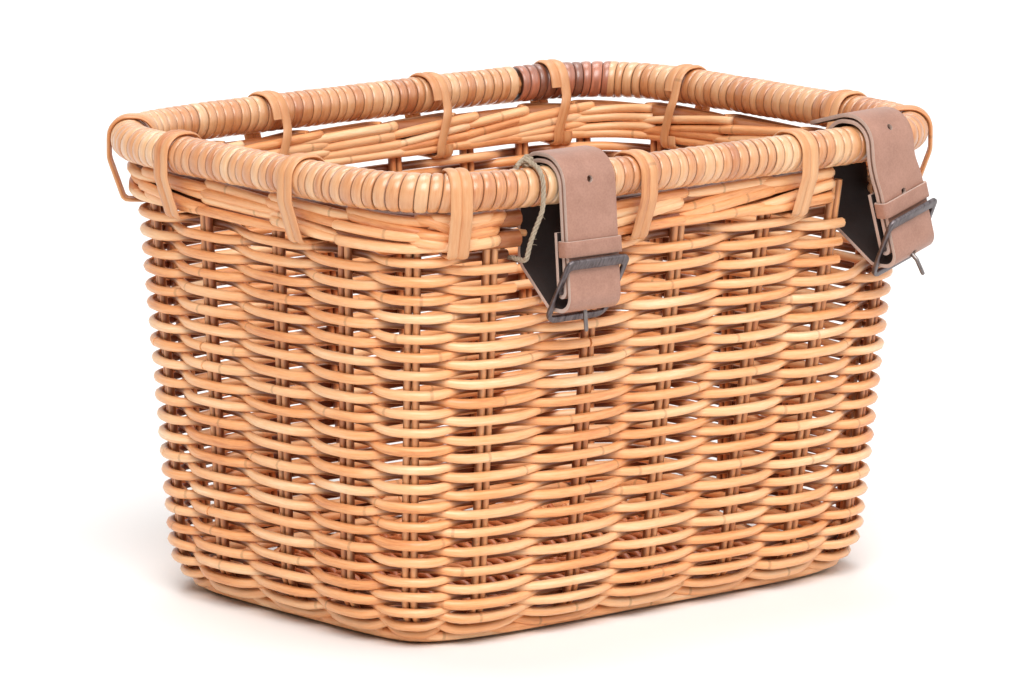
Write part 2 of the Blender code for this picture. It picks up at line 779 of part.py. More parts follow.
def make_strap(name, group, cutters, parent):
    """One leather strap with its punched holes, prong slot and thread holes."""
    data = STRAPS[name]
    path = strap_path(data)
    half = STRAP_WIDTH / 2
    tip = len(TIP_WIDTH_SHARES)
    widths = [half] * (len(path) - tip) + [half * share for share in TIP_WIDTH_SHARES]
    rows = []
    for point, width in zip(path, widths):
        turn = eased_lean(data["lean"], point.y)
        rows.append([turn @ Vector((side * width, -point.x, point.y)) for side in (-1, 1)])
    strap = place_object(f"{name}_strap", grid_mesh(f"{name}_strap", rows), group,
                         (LEATHER_COLOUR, 0.6), parent)
    solidify(strap, STRAP_THICKNESS)
    fold, _, _, up, out = fold_sizes()
    bar = Vector((BAR_OUT, -BAR_DROP))
    base, aim = prong_line(data["prong"] + data["hole_shift"])
    reach, at_prong = crossing(path, base, aim)
    start = base + aim * (reach - 2 * STRAP_THICKNESS)
    end = base + aim * (reach + 2 * STRAP_THICKNESS)
    meshes = [cylinder_mesh("prong_hole", (0, -start.x, start.y), (0, -end.x, end.y),
                            PRONG_HOLE_RADIUS)]
    for number in (1, 2):
        point, run = along_path(path, at_prong + number * HOLE_PITCH)
        hole = hole_cutter(point, run, HOLE_RADIUS)
        hole.transform(eased_lean(data["lean"], point.y).to_4x4())
        meshes.append(hole)
    eye = BAR_RADIUS + PRONG_EYE_GAP + 2 * PRONG_RADIUS + PRONG_SLOT_ROOM
    slot = PRONG_RADIUS + PRONG_SLOT_ROOM
    for number in range(STITCH_COUNT):
        across = STITCH_PITCH * (number - (STITCH_COUNT - 1) / 2)
        centre = bar + up * THREAD_RISE
        back = centre - out * (fold + STRAP_THICKNESS)
        ahead = centre + out * (fold + STRAP_THICKNESS / 2 + STRAP_LAYER_GAP / 2)
        meshes.append(cylinder_mesh("thread_hole", (across, -back.x, back.y),
                                    (across, -ahead.x, ahead.y), THREAD_HOLE_RADIUS, 6))
    opening = box_mesh("prong_slot", (-slot, -bar.x - eye, bar.y - eye), (slot, -bar.x + eye, bar.y + eye))
    for part, mesh in (("holes", joined_mesh("holes", meshes)), ("prong_slot", opening)):
        cutter = place_object(f"{name}_strap_{part}", mesh, cutters, parent=parent)
        hide_cutter(cutter)
        boolean(strap, cutter)


def make_keeper(name, group, parent):
    """Leather loop that holds the strap's tip down."""
    fold, _, angle, up, out = fold_sizes()
    back = fold - STRAP_THICKNESS / 2 - KEEPER_GAP - KEEPER_THICKNESS / 2
    front = (fold + STRAP_THICKNESS + STRAP_LAYER_GAP + STRAP_THICKNESS / 2 + KEEPER_GAP
             + KEEPER_THICKNESS / 2)
    side = STRAP_WIDTH / 2 + KEEPER_GAP + KEEPER_THICKNESS / 2
    corners = [(-side, -back), (side, -back), (side, -front), (-side, -front)]
    loop = filleted(corners, [KEEPER_THICKNESS] * len(corners), closed=True)
    loop.append(loop[0])
    half = KEEPER_HEIGHT / 2
    rows = [[Vector((point.x, point.y, level)) for point in loop] for level in (-half, half)]
    keeper = place_object(f"{name}_keeper", grid_mesh(f"{name}_keeper", rows), group,
                          (LEATHER_COLOUR, 0.6), parent)
    solidify(keeper, KEEPER_THICKNESS)
    centre = Vector((BAR_OUT, -BAR_DROP)) + up * KEEPER_RISE
    keeper.location = (0, -centre.x, centre.y)
    keeper.rotation_euler.x = -angle


def make_stitching(name, group, parent):
    """Running stitch through both legs of the fold, above the buckle's bar."""
    fold, _, angle, up, _ = fold_sizes()
    depth = fold + STRAP_THICKNESS / 2 + THREAD_GAP + THREAD_RADIUS
    points = []
    for number in range(STITCH_COUNT):
        across = STITCH_PITCH * (number - (STITCH_COUNT - 1) / 2)
        ends = (depth, -depth) if number % 2 else (-depth, depth)
        points += [Vector((across, ends[0], 0)), Vector((across, ends[1], 0))]
    curve = tube_curve(f"{name}_fold_stitching", points, THREAD_RADIUS, resolution=1)
    thread = place_object(f"{name}_fold_stitching", curve, group, (THREAD_COLOUR, 0.8), parent)
    centre = Vector((BAR_OUT, -BAR_DROP)) + up * THREAD_RISE
    thread.location = (0, -centre.x, centre.y)
    thread.rotation_euler.x = -angle


def make_buckle(name, group, cutters, parent):
    """Flat frame with a top bar, a bottom bar and a round centre bar."""
    curve = bpy.data.curves.new(f"{name}_buckle_frame", "CURVE")
    curve.dimensions = "2D"
    curve.fill_mode = "BOTH"
    curve.extrude = FRAME_THICKNESS / 2
    half = FRAME_WIDTH / 2
    tall = FRAME_HEIGHT / 2
    inner = half - FRAME_SIDE
    outlines = (
        ([(-half, -tall), (half, -tall), (half, tall), (-half, tall)], FRAME_CORNER),
        ([(-inner, -tall + FRAME_BOTTOM_BAR), (inner, -tall + FRAME_BOTTOM_BAR),
          (inner, tall - FRAME_TOP_BAR), (-inner, tall - FRAME_TOP_BAR)], FRAME_CORNER - FRAME_SIDE),
    )
    for corners, radius in outlines:
        points = filleted(corners, [radius] * len(corners), closed=True)
        spline = curve.splines.new("POLY")
        spline.points.add(len(points) - 1)
        for target, point in zip(spline.points, points):
            target.co = (point.x, point.y, 0, 1)
        spline.use_cyclic_u = True
    plate = place_object(f"{name}_buckle_frame", curve, group, parent=parent)
    frame = settle(plate)
    frame.data.transform(Matrix.Rotation(math.pi / 2, 4, "X"))
    frame.data.materials.append(material(f"{name}_buckle_frame", METAL_COLOUR, 0.4, 1.0))
    frame.location = (0, -BAR_OUT, -BAR_DROP)
    frame.rotation_euler.x = FRAME_TILT
    bevel(frame, FRAME_EDGE)
    reach = half - FRAME_SIDE / 2
    bar = place_object(f"{name}_centre_bar", cylinder_mesh("bar", (-reach, 0, 0), (reach, 0, 0),
                                                           BAR_RADIUS), cutters, parent=parent)
    bar.location = frame.location
    hide_cutter(bar)
    boolean(frame, bar, "UNION")


def make_prong(name, group, parent):
    """Wire tongue bent into an eye round the centre bar."""
    data = STRAPS[name]
    eye = BAR_RADIUS + PRONG_EYE_GAP + PRONG_RADIUS
    points = []
    steps = round(1.5 * math.pi / ARC_STEP)
    for step in range(steps + 1):
        angle = ARC_STEP * step - math.pi / 2
        points.append(Vector((0, -eye * math.cos(angle), eye * math.sin(angle))))
    knee = PRONG_LENGTH * PRONG_KNEE_SHARE
    bend = data["prong_bend"]
    points.append(points[-1] - Vector((0, 0, knee)))
    points.append(points[-1] + (PRONG_LENGTH - knee) * Vector((0, -math.sin(bend), -math.cos(bend))))
    curve = tube_curve(f"{name}_buckle_prong", points, PRONG_RADIUS)
    prong = place_object(f"{name}_buckle_prong", curve, group, (NICKEL_COLOUR, 0.3, 1.0), parent)
    prong.location = (0, -BAR_OUT, -BAR_DROP)
    prong.rotation_euler.x = -data["prong"]


def make_tie(group):
    """Jute string tied round the rim at the near strap's slot."""
    reach = TIE_RADIUS + SEAT_GAP
    round_rim = RIM_RADIUS + reach
    low = BORDER_BOTTOM - RIM_HEIGHT - TIE_SLOT_DROP
    inside = -BORDER_INSET - reach
    shoulder = BORDER_TOP - RIM_HEIGHT
    corners = [(0, round_rim), (round_rim, round_rim), (round_rim, shoulder),
               (BORDER_OVERHANG + reach, low), (inside, low), (inside, shoulder),
               (-round_rim, round_rim), (-3 * reach, round_rim)]
    radii = [0, RIM_RADIUS, LASHING_SHOULDER, LASHING_CORNER, LASHING_CORNER, LASHING_SHOULDER,
             RIM_RADIUS, 0]
    outline = filleted(corners, radii, arc_step=CANE_ARC_STEP)
    total = running_lengths(outline)[-1]
    data = STRAPS["near"]
    offset = data["slot"][0] + TIE_RADIUS + SEAT_GAP
    frame = rim_frame(data["share"] + offset / RIM_PLAN.lengths[-1], 0)
    points = []
    steps = round(total / TIE_SEGMENT)
    for step in range(steps + 1):
        flat, _ = along_path(outline, total * step / steps)
        points.append(frame @ Vector((0, -flat.x, flat.y)))
    curve = tube_curve("jute_tie", points, TIE_RADIUS, resolution=1)
    place_object("jute_tie", curve, group, (JUTE_COLOUR, 0.9))


def make_notches(cutters):
    """Cutter for the strap slots and the lashings' notches at the wall's top edge."""
    meshes = []
    low = BORDER_BOTTOM - 2 * LASHING_RADIUS - 2 * SEAT_GAP
    half = LASHING_PITCH / 2 + LASHING_RADIUS + SEAT_GAP
    inside = WALL_SETBACK + WALL_THICKNESS + OVERRUN
    for _, share in LASHING_SHARES:
        point, normal, _ = RIM_PLAN.place(share)
        turn = Matrix.Rotation(math.atan2(normal.x, -normal.y), 4, "Z")
        mesh = box_mesh("notch", (-half, -OVERRUN, low), (half, inside, BORDER_BOTTOM))
        mesh.transform(Matrix.Translation(point) @ turn)
        meshes.append(mesh)
    top = BORDER_BOTTOM - RIM_HEIGHT
    for data in STRAPS.values():
        low_end, high_end = data["slot"]
        mesh = box_mesh("slot", (low_end, -OVERRUN, top - data["slot_depth"]),
                        (high_end, inside + 2 * OVERRUN, top + OVERRUN))
        mesh.transform(rim_frame(data["share"], 0))
        meshes.append(mesh)
    cutter = place_object("wall_notches", joined_mesh("wall_notches", meshes), cutters)
    hide_cutter(cutter)
    return cutter


def main():
    """Build every piece."""
    clear_scene()
    group = new_collection("wicker_basket")
    cutters = new_collection("cutters")
    channels = make_channels(cutters)
    notches = make_notches(cutters)
    make_base(group, cutters, channels)
    make_foot(group, channels)
    make_wall(group, channels, notches)
    make_border(group, channels)
    make_stakes(group)
    make_rim(group)
    make_lashings(group)
    for name in STRAPS:
        parent = bpy.data.objects.new(f"{name}_strap_frame", None)
        group.objects.link(parent)
        parent.matrix_world = strap_frame(name)
        make_strap(name, group, cutters, parent)
        make_keeper(name, group, parent)
        make_stitching(name, group, parent)
        make_buckle(name, group, cutters, parent)
        make_prong(name, group, parent)
    make_tie(group)


main()
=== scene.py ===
"""Looks of the wicker basket with two buckled straps, laid out as an add-on.

Lengths are metres. Places round the basket are shares of the plan's length, counted from the near
left corner along the strap side first, as in the part's source.
"""

import math
import random
from bisect import bisect_right

import bmesh
import bpy
from mathutils import Matrix, Vector


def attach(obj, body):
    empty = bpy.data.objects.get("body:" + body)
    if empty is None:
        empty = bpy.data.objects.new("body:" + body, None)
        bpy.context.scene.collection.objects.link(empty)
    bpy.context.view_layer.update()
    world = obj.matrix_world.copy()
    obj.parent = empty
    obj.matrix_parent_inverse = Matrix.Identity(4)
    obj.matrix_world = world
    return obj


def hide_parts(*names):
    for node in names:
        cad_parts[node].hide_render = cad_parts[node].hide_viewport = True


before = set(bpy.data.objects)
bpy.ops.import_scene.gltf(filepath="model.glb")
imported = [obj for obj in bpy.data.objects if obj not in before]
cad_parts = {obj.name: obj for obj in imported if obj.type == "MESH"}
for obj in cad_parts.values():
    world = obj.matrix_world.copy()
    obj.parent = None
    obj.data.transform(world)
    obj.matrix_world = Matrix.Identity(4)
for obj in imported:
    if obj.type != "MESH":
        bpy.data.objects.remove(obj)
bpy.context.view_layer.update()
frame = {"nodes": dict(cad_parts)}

bl_info = {
    "name": "Wicker basket with buckled straps",
    "version": (1, 0, 0),
    "blender": (4, 5, 0),
    "location": "View3D > Sidebar > Basket",
    "description": "Weaves the basket round its packed frame and sets the stage",
    "category": "Object",
}

# Plan of the basket, as in the part's source
RIM_HALF_LENGTH = 0.1816
RIM_HALF_WIDTH = 0.1357
FOOT_HALF_LENGTH = 0.1690
FOOT_HALF_WIDTH = 0.1175
PLAN_EXPONENT = 5.5
OUTLINE_STEPS = 720
SEAT_GAP = 0.0004
RIM_HEIGHT = 0.2337
RIM_RADIUS = 0.0100
PLAN_POINTS = 56
DARK_BINDING_SHARES = (27.5 / PLAN_POINTS, 30.5 / PLAN_POINTS)
WALL_THICKNESS = 0.0133
WALL_SETBACK = 0.0021
FOOT_RADIUS = 0.0287
BORDER_TOP = 0.2233
BORDER_BOTTOM = 0.2033
WALL_TOP = 0.2029
BORDER_INSET = 0.0154
BORDER_OVERHANG = 0.0016
BORDER_HEIGHT = 0.020
STAKE_ROOT = 0.003
STAKE_SOCKET = 0.012
STAKE_SHARES = (0.810, 0.853, 0.903, 0.948, 0.988, 0.027, 0.085, 0.134, 0.186, 0.2297, 0.278,
                0.322, 0.368, 0.414, 0.4655, 0.5085, 0.5445, 0.578, 0.622, 0.667, 0.717, 0.764)
ROUND_SHARES = tuple(sorted(STAKE_SHARES))
STICK_PITCH = 0.024
STICK_COUNT = 7

LASHING_SHOULDER = 0.008
LASHING_CORNER = 0.003
LASHINGS = (
    ("near_corner", 0.008), ("strap_side_left", 0.102), ("strap_side_right", 0.197),
    ("right_corner", 0.290), ("right_side_front", 0.345), ("right_side_back", 0.451),
    ("back_corner", 0.525), ("back_side_right", 0.5975), ("back_side_left", 0.693),
    ("left_corner", 0.788), ("left_side_back", 0.8425), ("left_side_front", 0.927),
)

STRAP_WIDTH = 0.032
STRAP_THICKNESS = 0.0020
STRAP_RIM_GAP = 0.0010
STRAP_LAYER_GAP = 0.0012
STRAP_WALL_GAP = 0.0026
FOLD_LENGTH = 0.029
SLOT_BEND_DROP = 0.0402
SLOT_BEND_RADIUS = 0.010
TURN_DROP = 0.0606
TURN_OUT = 0.0046
TURN_BACK_RADIUS = 0.005
TURN_FRONT_RADIUS = 0.007
TIP_LENGTH = 0.010
HOLE_PITCH = 0.034
HOLE_RADIUS = 0.0018
PRONG_HOLE_RADIUS = 0.0025
LEAN_DROP = 0.022
KEEPER_THICKNESS = 0.0016
KEEPER_HEIGHT = 0.008
KEEPER_RISE = 0.021
KEEPER_GAP = 0.0003
KEEPER_CORNER = 0.0018
BAR_OUT = 0.014
BAR_DROP = 0.051
BAR_RADIUS = 0.0013
FRAME_WIDTH = 0.040
FRAME_HEIGHT = 0.0384
FRAME_THICKNESS = 0.0020
FRAME_SIDE = 0.0030
FRAME_TOP_BAR = 0.0055
FRAME_BOTTOM_BAR = 0.0040
FRAME_CORNER = 0.004
FRAME_TILT = math.radians(29.7)
PRONG_RADIUS = 0.0011
PRONG_LENGTH = 0.0212
PRONG_KNEE_SHARE = 0.6
PRONG_EYE_GAP = 0.0002
TIE_RADIUS = 0.00135
TIE_SLOT_DROP = 0.0055
STRAPS = {
    "near": {"share": 0.0645, "lean": 0.0, "prong": math.radians(7),
             "hole_shift": math.radians(5), "prong_bend": 0.0, "slot": (-0.0305, 0.0168),
             "slot_depth": 0.026, "tip_bend": 0.0125, "tip_radius": 0.010,
             "tip_end": (-0.0185, -0.0020)},
    "far": {"share": 0.244, "lean": math.radians(-13.5), "prong": math.radians(43),
            "hole_shift": math.radians(5), "prong_bend": math.radians(-22),
            "slot": (-0.0120, 0.0312), "slot_depth": 0.031, "tip_bend": 0.004,
            "tip_radius": 0.020, "tip_end": (-0.0305, 0.0075)},
}

# What the canes are made of: sides round a cane, points along it, and the weld of its seam
CANE_SIDES = 8
ROD_SIDES = 10
POINTS_A_SPAN = 8
CLOSEST_SHARES = 0.0008
FINE_ARC = math.radians(15)
WELD = 0.000001
UP = Vector((0, 0, 1))

# How the rows of the wall and the foot lie: joints of a row, shares of the round, and its drift
WEAVE_SAG = 0.0007
ROW_LIFT = 0.0005
END_TUCK = 0.0012
JOINED_OUTSIDE = 0.45
BUTTED_ROUND = 0.9988
LAPPED_ROUND = 1.012
PAST_STAKE = 0.004
BACK_STAKE = 12
TWIST_TRAVELS = (0.0350, 0.0405)
TWIST_SLANT = 0.0027
TWIST_ROUND = (0.55, 1.551)

# Canes of the base
BASE_CANE_RADIUS = 0.0020
BASE_CANE_STEPS = 42
BASE_PITCH = 0.0042
BASE_SWING = 0.0046
BASE_TUCK = 0.004

# Rods of the border: its openings at the straps, and the rods' layers, slants and ends
BORDER_OPENINGS = ((-0.0270, 0.0130), (-0.0240, 0.0185))
BORDER_LAYERS = 4
ROD_SLANTS = (0.0010, 0.0085)
ROD_HEAD = 0.0062
ROD_STEP = 0.007
SHORTEST_ROD = 0.012

# Turns of the rim's strip: places across one turn with the strip's rise there
TURN_STOPS = ((0.0, 0.0), (0.06, 0.55), (0.17, 0.86), (0.5, 1.0), (0.83, 0.86), (0.94, 0.55))
RIM_SIDES = 24
RIM_GIRTH = 0.0628

# Leather: points along and across a strap, and play round what goes through it
STRAP_STEP = 0.003
STRAP_SIDES = (-1, -0.6, 0, 0.6, 1)
TIP_SHARES = (1, 0.8, 0.6, 0.45, 0.3, 0.18, 0.09, 0.03, 0)
SLOT_PLAY = 0.0004
NEARLY_PARALLEL = 1e-12
BAR = Vector((BAR_OUT, -BAR_DROP))
PRONG_EYE = BAR_RADIUS + PRONG_EYE_GAP + PRONG_RADIUS
KNEE_ROUND = 0.15
LISTING_WAY = Vector((1, 0.37, 0.618))

# Twine: its slide along the rim, the knot's loops by tilt and size, its tail and its hairs
TIE_SLIDE = 0.0040
TWINE_STEP = 0.0009
KNOT_LOOPS = ((0.0, 0.0026), (1.1, 0.0023), (-0.9, 0.0024))
KNOT_TAIL = ((0, 0, 0), (-0.0035, -0.0010, 0.0012), (-0.0068, -0.0030, 0.0002),
             (-0.0100, -0.0052, -0.0012))
HAIR_COUNT = 26

# Fixed colours and the leaf rings of a cane, with painted shade for the weave's recesses and for
# the base
RINGS_A_METRE = 8.5
RING_COLOUR = (0.16, 0.06, 0.02, 1)
# Painted shade: colour of the sides of woven canes that lie deep in the weave
PAINTED_SHADE_COLOUR = (0.15, 0.022, 0.003, 1)
SUNNY_CANE = (0.97, 0.76, 0.50)
# Darkest colour of the base's canes, painted shade for the basket's dark inside
BASE_SHADE_CANE = (0.20, 0.05, 0.014)

CAMERA_TARGET = Vector((0, 0.0027, 0.1217))


class Plan:
    """Bowed rectangle with wide corners, read at shares of its length."""

    def __init__(self, half_length, half_width):
        self.half_length = half_length
        self.half_width = half_width
        self.points = []
        start = math.atan2(-half_width, -half_length)
        for step in range(OUTLINE_STEPS + 1):
            angle = start + 2 * math.pi * step / OUTLINE_STEPS
            along = abs(math.cos(angle) / half_length) ** PLAN_EXPONENT
            across = abs(math.sin(angle) / half_width) ** PLAN_EXPONENT
            reach = (along + across) ** (-1 / PLAN_EXPONENT)
            self.points.append(Vector((reach * math.cos(angle), reach * math.sin(angle), 0)))
        self.lengths = running_lengths(self.points)

    def place(self, share):
        """Point, outward normal and tangent at a share of the way round."""
        target = (share % 1) * self.lengths[-1]
        index = min(bisect_right(self.lengths, target), OUTLINE_STEPS) - 1
        part = (target - self.lengths[index]) / (self.lengths[index + 1] - self.lengths[index])
        point = self.points[index].lerp(self.points[index + 1], part)
        along = point.x / self.half_length
        across = point.y / self.half_width
        power = PLAN_EXPONENT - 1
        normal = Vector((math.copysign(abs(along) ** power, along) / self.half_length,
                         math.copysign(abs(across) ** power, across) / self.half_width, 0))
        normal.normalize()
        return point, normal, Vector((-normal.y, normal.x, 0))


def running_lengths(points):
    """Length along a polyline up to each of its points."""
    lengths = [0]
    for first, second in zip(points, points[1:]):
        lengths.append(lengths[-1] + (second - first).length)
    return lengths


RIM_PLAN = Plan(RIM_HALF_LENGTH, RIM_HALF_WIDTH)
FOOT_PLAN = Plan(FOOT_HALF_LENGTH, FOOT_HALF_WIDTH)
TOP_PLAN = Plan(RIM_HALF_LENGTH - WALL_SETBACK, RIM_HALF_WIDTH - WALL_SETBACK)
ROUND_LENGTH = RIM_PLAN.lengths[-1]


def rim_place(share, height, depth):
    """Point at a depth inside the rim's centre line."""
    point, normal, _ = RIM_PLAN.place(share)
    point = point - normal * depth
    return Vector((point.x, point.y, height))


def wall_place(share, height, depth):
    """Point at a depth behind the wall's outer face, on the straight line up the wall."""
    point, normal, _ = FOOT_PLAN.place(share)
    lower = point - normal * depth
    point, normal, _ = TOP_PLAN.place(share)
    upper = point - normal * depth
    rise = max(height - FOOT_RADIUS, 0) / (WALL_TOP - FOOT_RADIUS)
    point = lower.lerp(upper, rise)
    return Vector((point.x, point.y, height))


def foot_place(share, travel, depth):
    """Point on the foot's curve, at a travel down from the wall along its outer face."""
    angle = travel / FOOT_RADIUS
    reach = FOOT_RADIUS - depth
    return wall_place(share, FOOT_RADIUS - reach * math.sin(angle),
                      FOOT_RADIUS - reach * math.cos(angle))


def smooth(part):
    """Eased share between nought and one."""
    part = min(max(part, 0), 1)
    return part * part * (3 - 2 * part)


def flat_topped(swing):
    """Swing from -1 to 1 that stays longer at its ends."""
    return swing * (3 - swing * swing) / 2


def blended(values, place):
    """Value between the neighbours of a place in a list that closes on itself."""
    low = math.floor(place)
    part = smooth(place - low)
    return values[low % len(values)] * (1 - part) + values[(low + 1) % len(values)] * part


def stake_place(share):
    """Number of the stake pair before a share, and the share of the span behind it."""
    turns = math.floor(share)
    here = share - turns
    count = len(ROUND_SHARES)
    index = bisect_right(ROUND_SHARES, here) - 1
    low = ROUND_SHARES[index] if index >= 0 else ROUND_SHARES[-1] - 1
    high = ROUND_SHARES[index + 1] if index + 1 < count else ROUND_SHARES[0] + 1
    return index + turns * count, (here - low) / (high - low)


def stake_share(number):
    """Share of a stake pair, counted on past one for later turns."""
    count = len(ROUND_SHARES)
    return ROUND_SHARES[number % count] + number // count


def span_shares(start, end):
    """Shares between two places, evenly set in each span between stake pairs."""
    first = stake_place(start)[0]
    last = stake_place(end)[0] + 1
    shares = [start]
    for number in range(first, last + 1):
        low = stake_share(number)
        high = stake_share(number + 1)
        for step in range(POINTS_A_SPAN):
            share = low + (high - low) * step / POINTS_A_SPAN
            if start + CLOSEST_SHARES < share < end - CLOSEST_SHARES:
                shares.append(share)
    return shares + [end]


def in_and_out(share, row):
    """Where a weaver lies between the wall's inner and outer faces, from -1 to 1."""
    number, part = stake_place(share)
    return flat_topped(math.cos(math.pi * part) * (-1 if (number + row) % 2 else 1))


# ---- shared modelling helpers

def begin():
    """Empty bmesh with the layers that the cane finishes read."""
    shape = bmesh.new()
    shape.verts.layers.float_vector.new("cane")
    shape.verts.layers.float.new("tone")
    # Share of painted shade on each side of a cane
    shape.verts.layers.float.new("painted_shade")
    return shape


def lay_cane(shape, points, radii, tone, up, sides=CANE_SIDES, start=0.0, flatten=1.0,
             painted_shade=None):
    """One cane along points: a grid rolled round them, with open ends until it is closed."""
    first = len(shape.verts)
    rows = len(points)
    bmesh.ops.create_grid(shape, x_segments=sides, y_segments=rows - 1, size=1)
    shape.verts.ensure_lookup_table()
    streak = shape.verts.layers.float_vector["cane"]
    shade = shape.verts.layers.float["tone"]
    painted_shade_amount = shape.verts.layers.float["painted_shade"]
    length = start
    for row, point in enumerate(points):
        before = points[max(row - 1, 0)]
        after = points[min(row + 1, rows - 1)]
        if row:
            length += (point - before).length
        ahead = (after - before).normalized()
        rise = (up - ahead * up.dot(ahead)).normalized()
        side = ahead.cross(rise)
        radius = radii[row] if isinstance(radii, list) else radii
        here = tone[row] if isinstance(tone, list) else tone
        for column in range(sides + 1):
            angle = 2 * math.pi * (column % sides) / sides
            across, out = math.cos(angle), math.sin(angle)
            vert = shape.verts[first + row * (sides + 1) + column]
            vert.co = point + rise * (radius * across) + side * (radius * flatten * out)
            vert[streak] = (length, across, out)
            vert[shade] = here
            # Share of painted shade on this side of the cane
            vert[painted_shade_amount] = painted_shade(row, across, out) if painted_shade else 0.0


def painted_shade_by_depth(waves):
    """Painted shade for each side of a woven cane by how deep it lies: its outside by how far it
    runs inwards.
    """
    return lambda row, across, out: 0.5 - 0.5 * waves[row] * out


def close_shape(shape):
    """Weld the seams, close the open ends and turn the faces outwards."""
    bmesh.ops.remove_doubles(shape, verts=shape.verts, dist=WELD)
    open_edges = [edge for edge in shape.edges if edge.is_boundary]
    bmesh.ops.holes_fill(shape, edges=open_edges, sides=0)
    bmesh.ops.recalc_face_normals(shape, faces=shape.faces)


def new_item(name, shape, looks):
    """Object at the origin from a bmesh, with its finishes."""
    mesh = bpy.data.meshes.new(name)
    shape.to_mesh(mesh)
    shape.free()
    item = bpy.data.objects.new(name, mesh)
    bpy.context.scene.collection.objects.link(item)
    for look in looks:
        mesh.materials.append(look)
    return item


def shade_smooth(mesh, degrees):
    """Smooth shading, with sharp edges where faces meet at a wider angle."""
    mesh.polygons.foreach_set("use_smooth", [True] * len(mesh.polygons))
    mesh.set_sharp_from_angle(angle=math.radians(degrees))


def show(name, shape, looks, node, slot, body="basket"):
    """Object from a bmesh, riding on its body in place of a CAD node."""
    item = new_item(name, shape, looks)
    shade_smooth(item.data, 50)
    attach(item, body)
    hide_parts(node)
    return item


def finish_node(name, look):
    """Give a CAD node that stays as it is its finish."""
    materials = frame["nodes"][name].data.materials
    materials.clear()
    materials.append(look)


def settle(item):
    """Apply the object's modifiers to its mesh."""
    bpy.context.view_layer.update()
    evaluated = item.evaluated_get(bpy.context.evaluated_depsgraph_get())
    mesh = bpy.data.meshes.new_from_object(evaluated)
    item.modifiers.clear()
    item.data = mesh
    shade_smooth(mesh, 40)


def filleted(corners, radii, closed=False, arc_step=math.radians(12)):
    """Polyline through corners in a plane, each rounded with its radius."""
    points = []
    count = len(corners)
    for index, (corner, radius) in enumerate(zip(corners, radii)):
        if not closed and index in (0, count - 1):
            points.append(Vector(corner))
            continue
        here = Vector(corner)
        back = (Vector(corners[index - 1]) - here).normalized()
        ahead = (Vector(corners[(index + 1) % count]) - here).normalized()
        half = back.angle(ahead) / 2
        middle = here + (back + ahead).normalized() * radius / math.sin(half)
        first = here + back * radius / math.tan(half) - middle
        turn = math.pi - 2 * half
        sense = 1 if back.x * ahead.y - back.y * ahead.x < 0 else -1
        steps = max(1, math.ceil(turn / arc_step))
        for step in range(steps + 1):
            points.append(middle + Matrix.Rotation(sense * turn * step / steps, 2) @ first)
    return points


def along_path(points, distance):
    """Point and direction at a distance along a polyline."""
    lengths = running_lengths(points)
    index = min(max(bisect_right(lengths, distance), 1), len(points) - 1) - 1
    run = points[index + 1] - points[index]
    return points[index] + run.normalized() * (distance - lengths[index]), run.normalized()


def evened(points, step):
    """The same polyline at even steps."""
    lengths = running_lengths(points)
    count = max(2, round(lengths[-1] / step))
    return [along_path(points, lengths[-1] * number / count)[0] for number in range(count + 1)]


# ---- finishes

class Finish:
    """Material in the making: its shader, and helpers that add nodes and fill sockets."""

    def __init__(self, name):
        self.look = bpy.data.materials.new(name)
        self.look.use_nodes = True
        self.tree = self.look.node_tree
        self.shader = self.tree.nodes["Principled BSDF"]

    def put(self, socket, value):
        """Link a socket, or set it."""
        if isinstance(value, bpy.types.NodeSocket):
            self.tree.links.new(value, socket)
        else:
            socket.default_value = value

    def add(self, kind, settings=None, **sockets):
        """New node with its settings, and its sockets by name, or as i3 by number."""
        node = self.tree.nodes.new(kind)
        for key, value in (settings or {}).items():
            setattr(node, key, value)
        for key, value in sockets.items():
            numbered = key[0] == "i" and key[1:].isdigit()
            self.put(node.inputs[int(key[1:]) if numbered else key], value)
        return node

    def attribute(self, name, output="Fac"):
        """Attribute of the piece's own mesh."""
        return self.add("ShaderNodeAttribute", {"attribute_name": name}).outputs[output]

    def object_place(self):
        """Place in the piece's own coordinates."""
        return self.add("ShaderNodeTexCoord").outputs["Object"]

    def noise(self, place, stretch, scale, detail, roughness=0.5):
        """Noise over a place, which is stretched first where a stretch is given."""
        if stretch:
            place = self.add("ShaderNodeMapping", None, i0=place, i3=stretch).outputs[0]
        return self.add("ShaderNodeTexNoise", None, Vector=place, Scale=scale, Detail=detail,
                        Roughness=roughness).outputs[0]

    def value(self, operation, *values, clamp=False):
        """Result of a sum on sockets or numbers."""
        settings = {"operation": operation, "use_clamp": clamp}
        sockets = {f"i{number}": value for number, value in enumerate(values)}
        return self.add("ShaderNodeMath", settings, **sockets).outputs[0]

    def mixed(self, share, first, second):
        """Mix of two colours."""
        return self.add("ShaderNodeMix", {"data_type": "RGBA"}, i0=share, i6=first,
                        i7=second).outputs[2]

    def ranged(self, value, low, high, to_low, to_high, kind="LINEAR"):
        """Value carried from one range to another."""
        return self.add("ShaderNodeMapRange", {"interpolation_type": kind}, i0=value, i1=low,
                        i2=high, i3=to_low, i4=to_high).outputs[0]

    def ramp(self, factor, stops):
        """Colour ramp with the given stops."""
        node = self.add("ShaderNodeValToRGB", None, i0=factor)
        bar = node.color_ramp
        while len(bar.elements) < len(stops):
            bar.elements.new(0.5)
        for element, (place, colour) in zip(bar.elements, stops):
            element.position = place
            element.color = (*colour, 1)
        return node.outputs["Color"]

    def varied_tone(self, *noises):
        """The cane's own tone, changed by each noise by up to half its share either way."""
        shifts = [self.value("MULTIPLY_ADD", noise, share, -share / 2) for noise, share in noises]
        return self.value("ADD", self.value("ADD", *shifts), self.attribute("tone"), clamp=True)

    def done(self, height, strength, depth, sockets):
        """The material, with its relief and what is given for the shader's own sockets."""
        relief = self.add("ShaderNodeBump", None, Strength=strength, Distance=depth, Height=height)
        for key, value in {**sockets, "Normal": relief.outputs[0]}.items():
            self.put(self.shader.inputs[key], value)
        return self.look


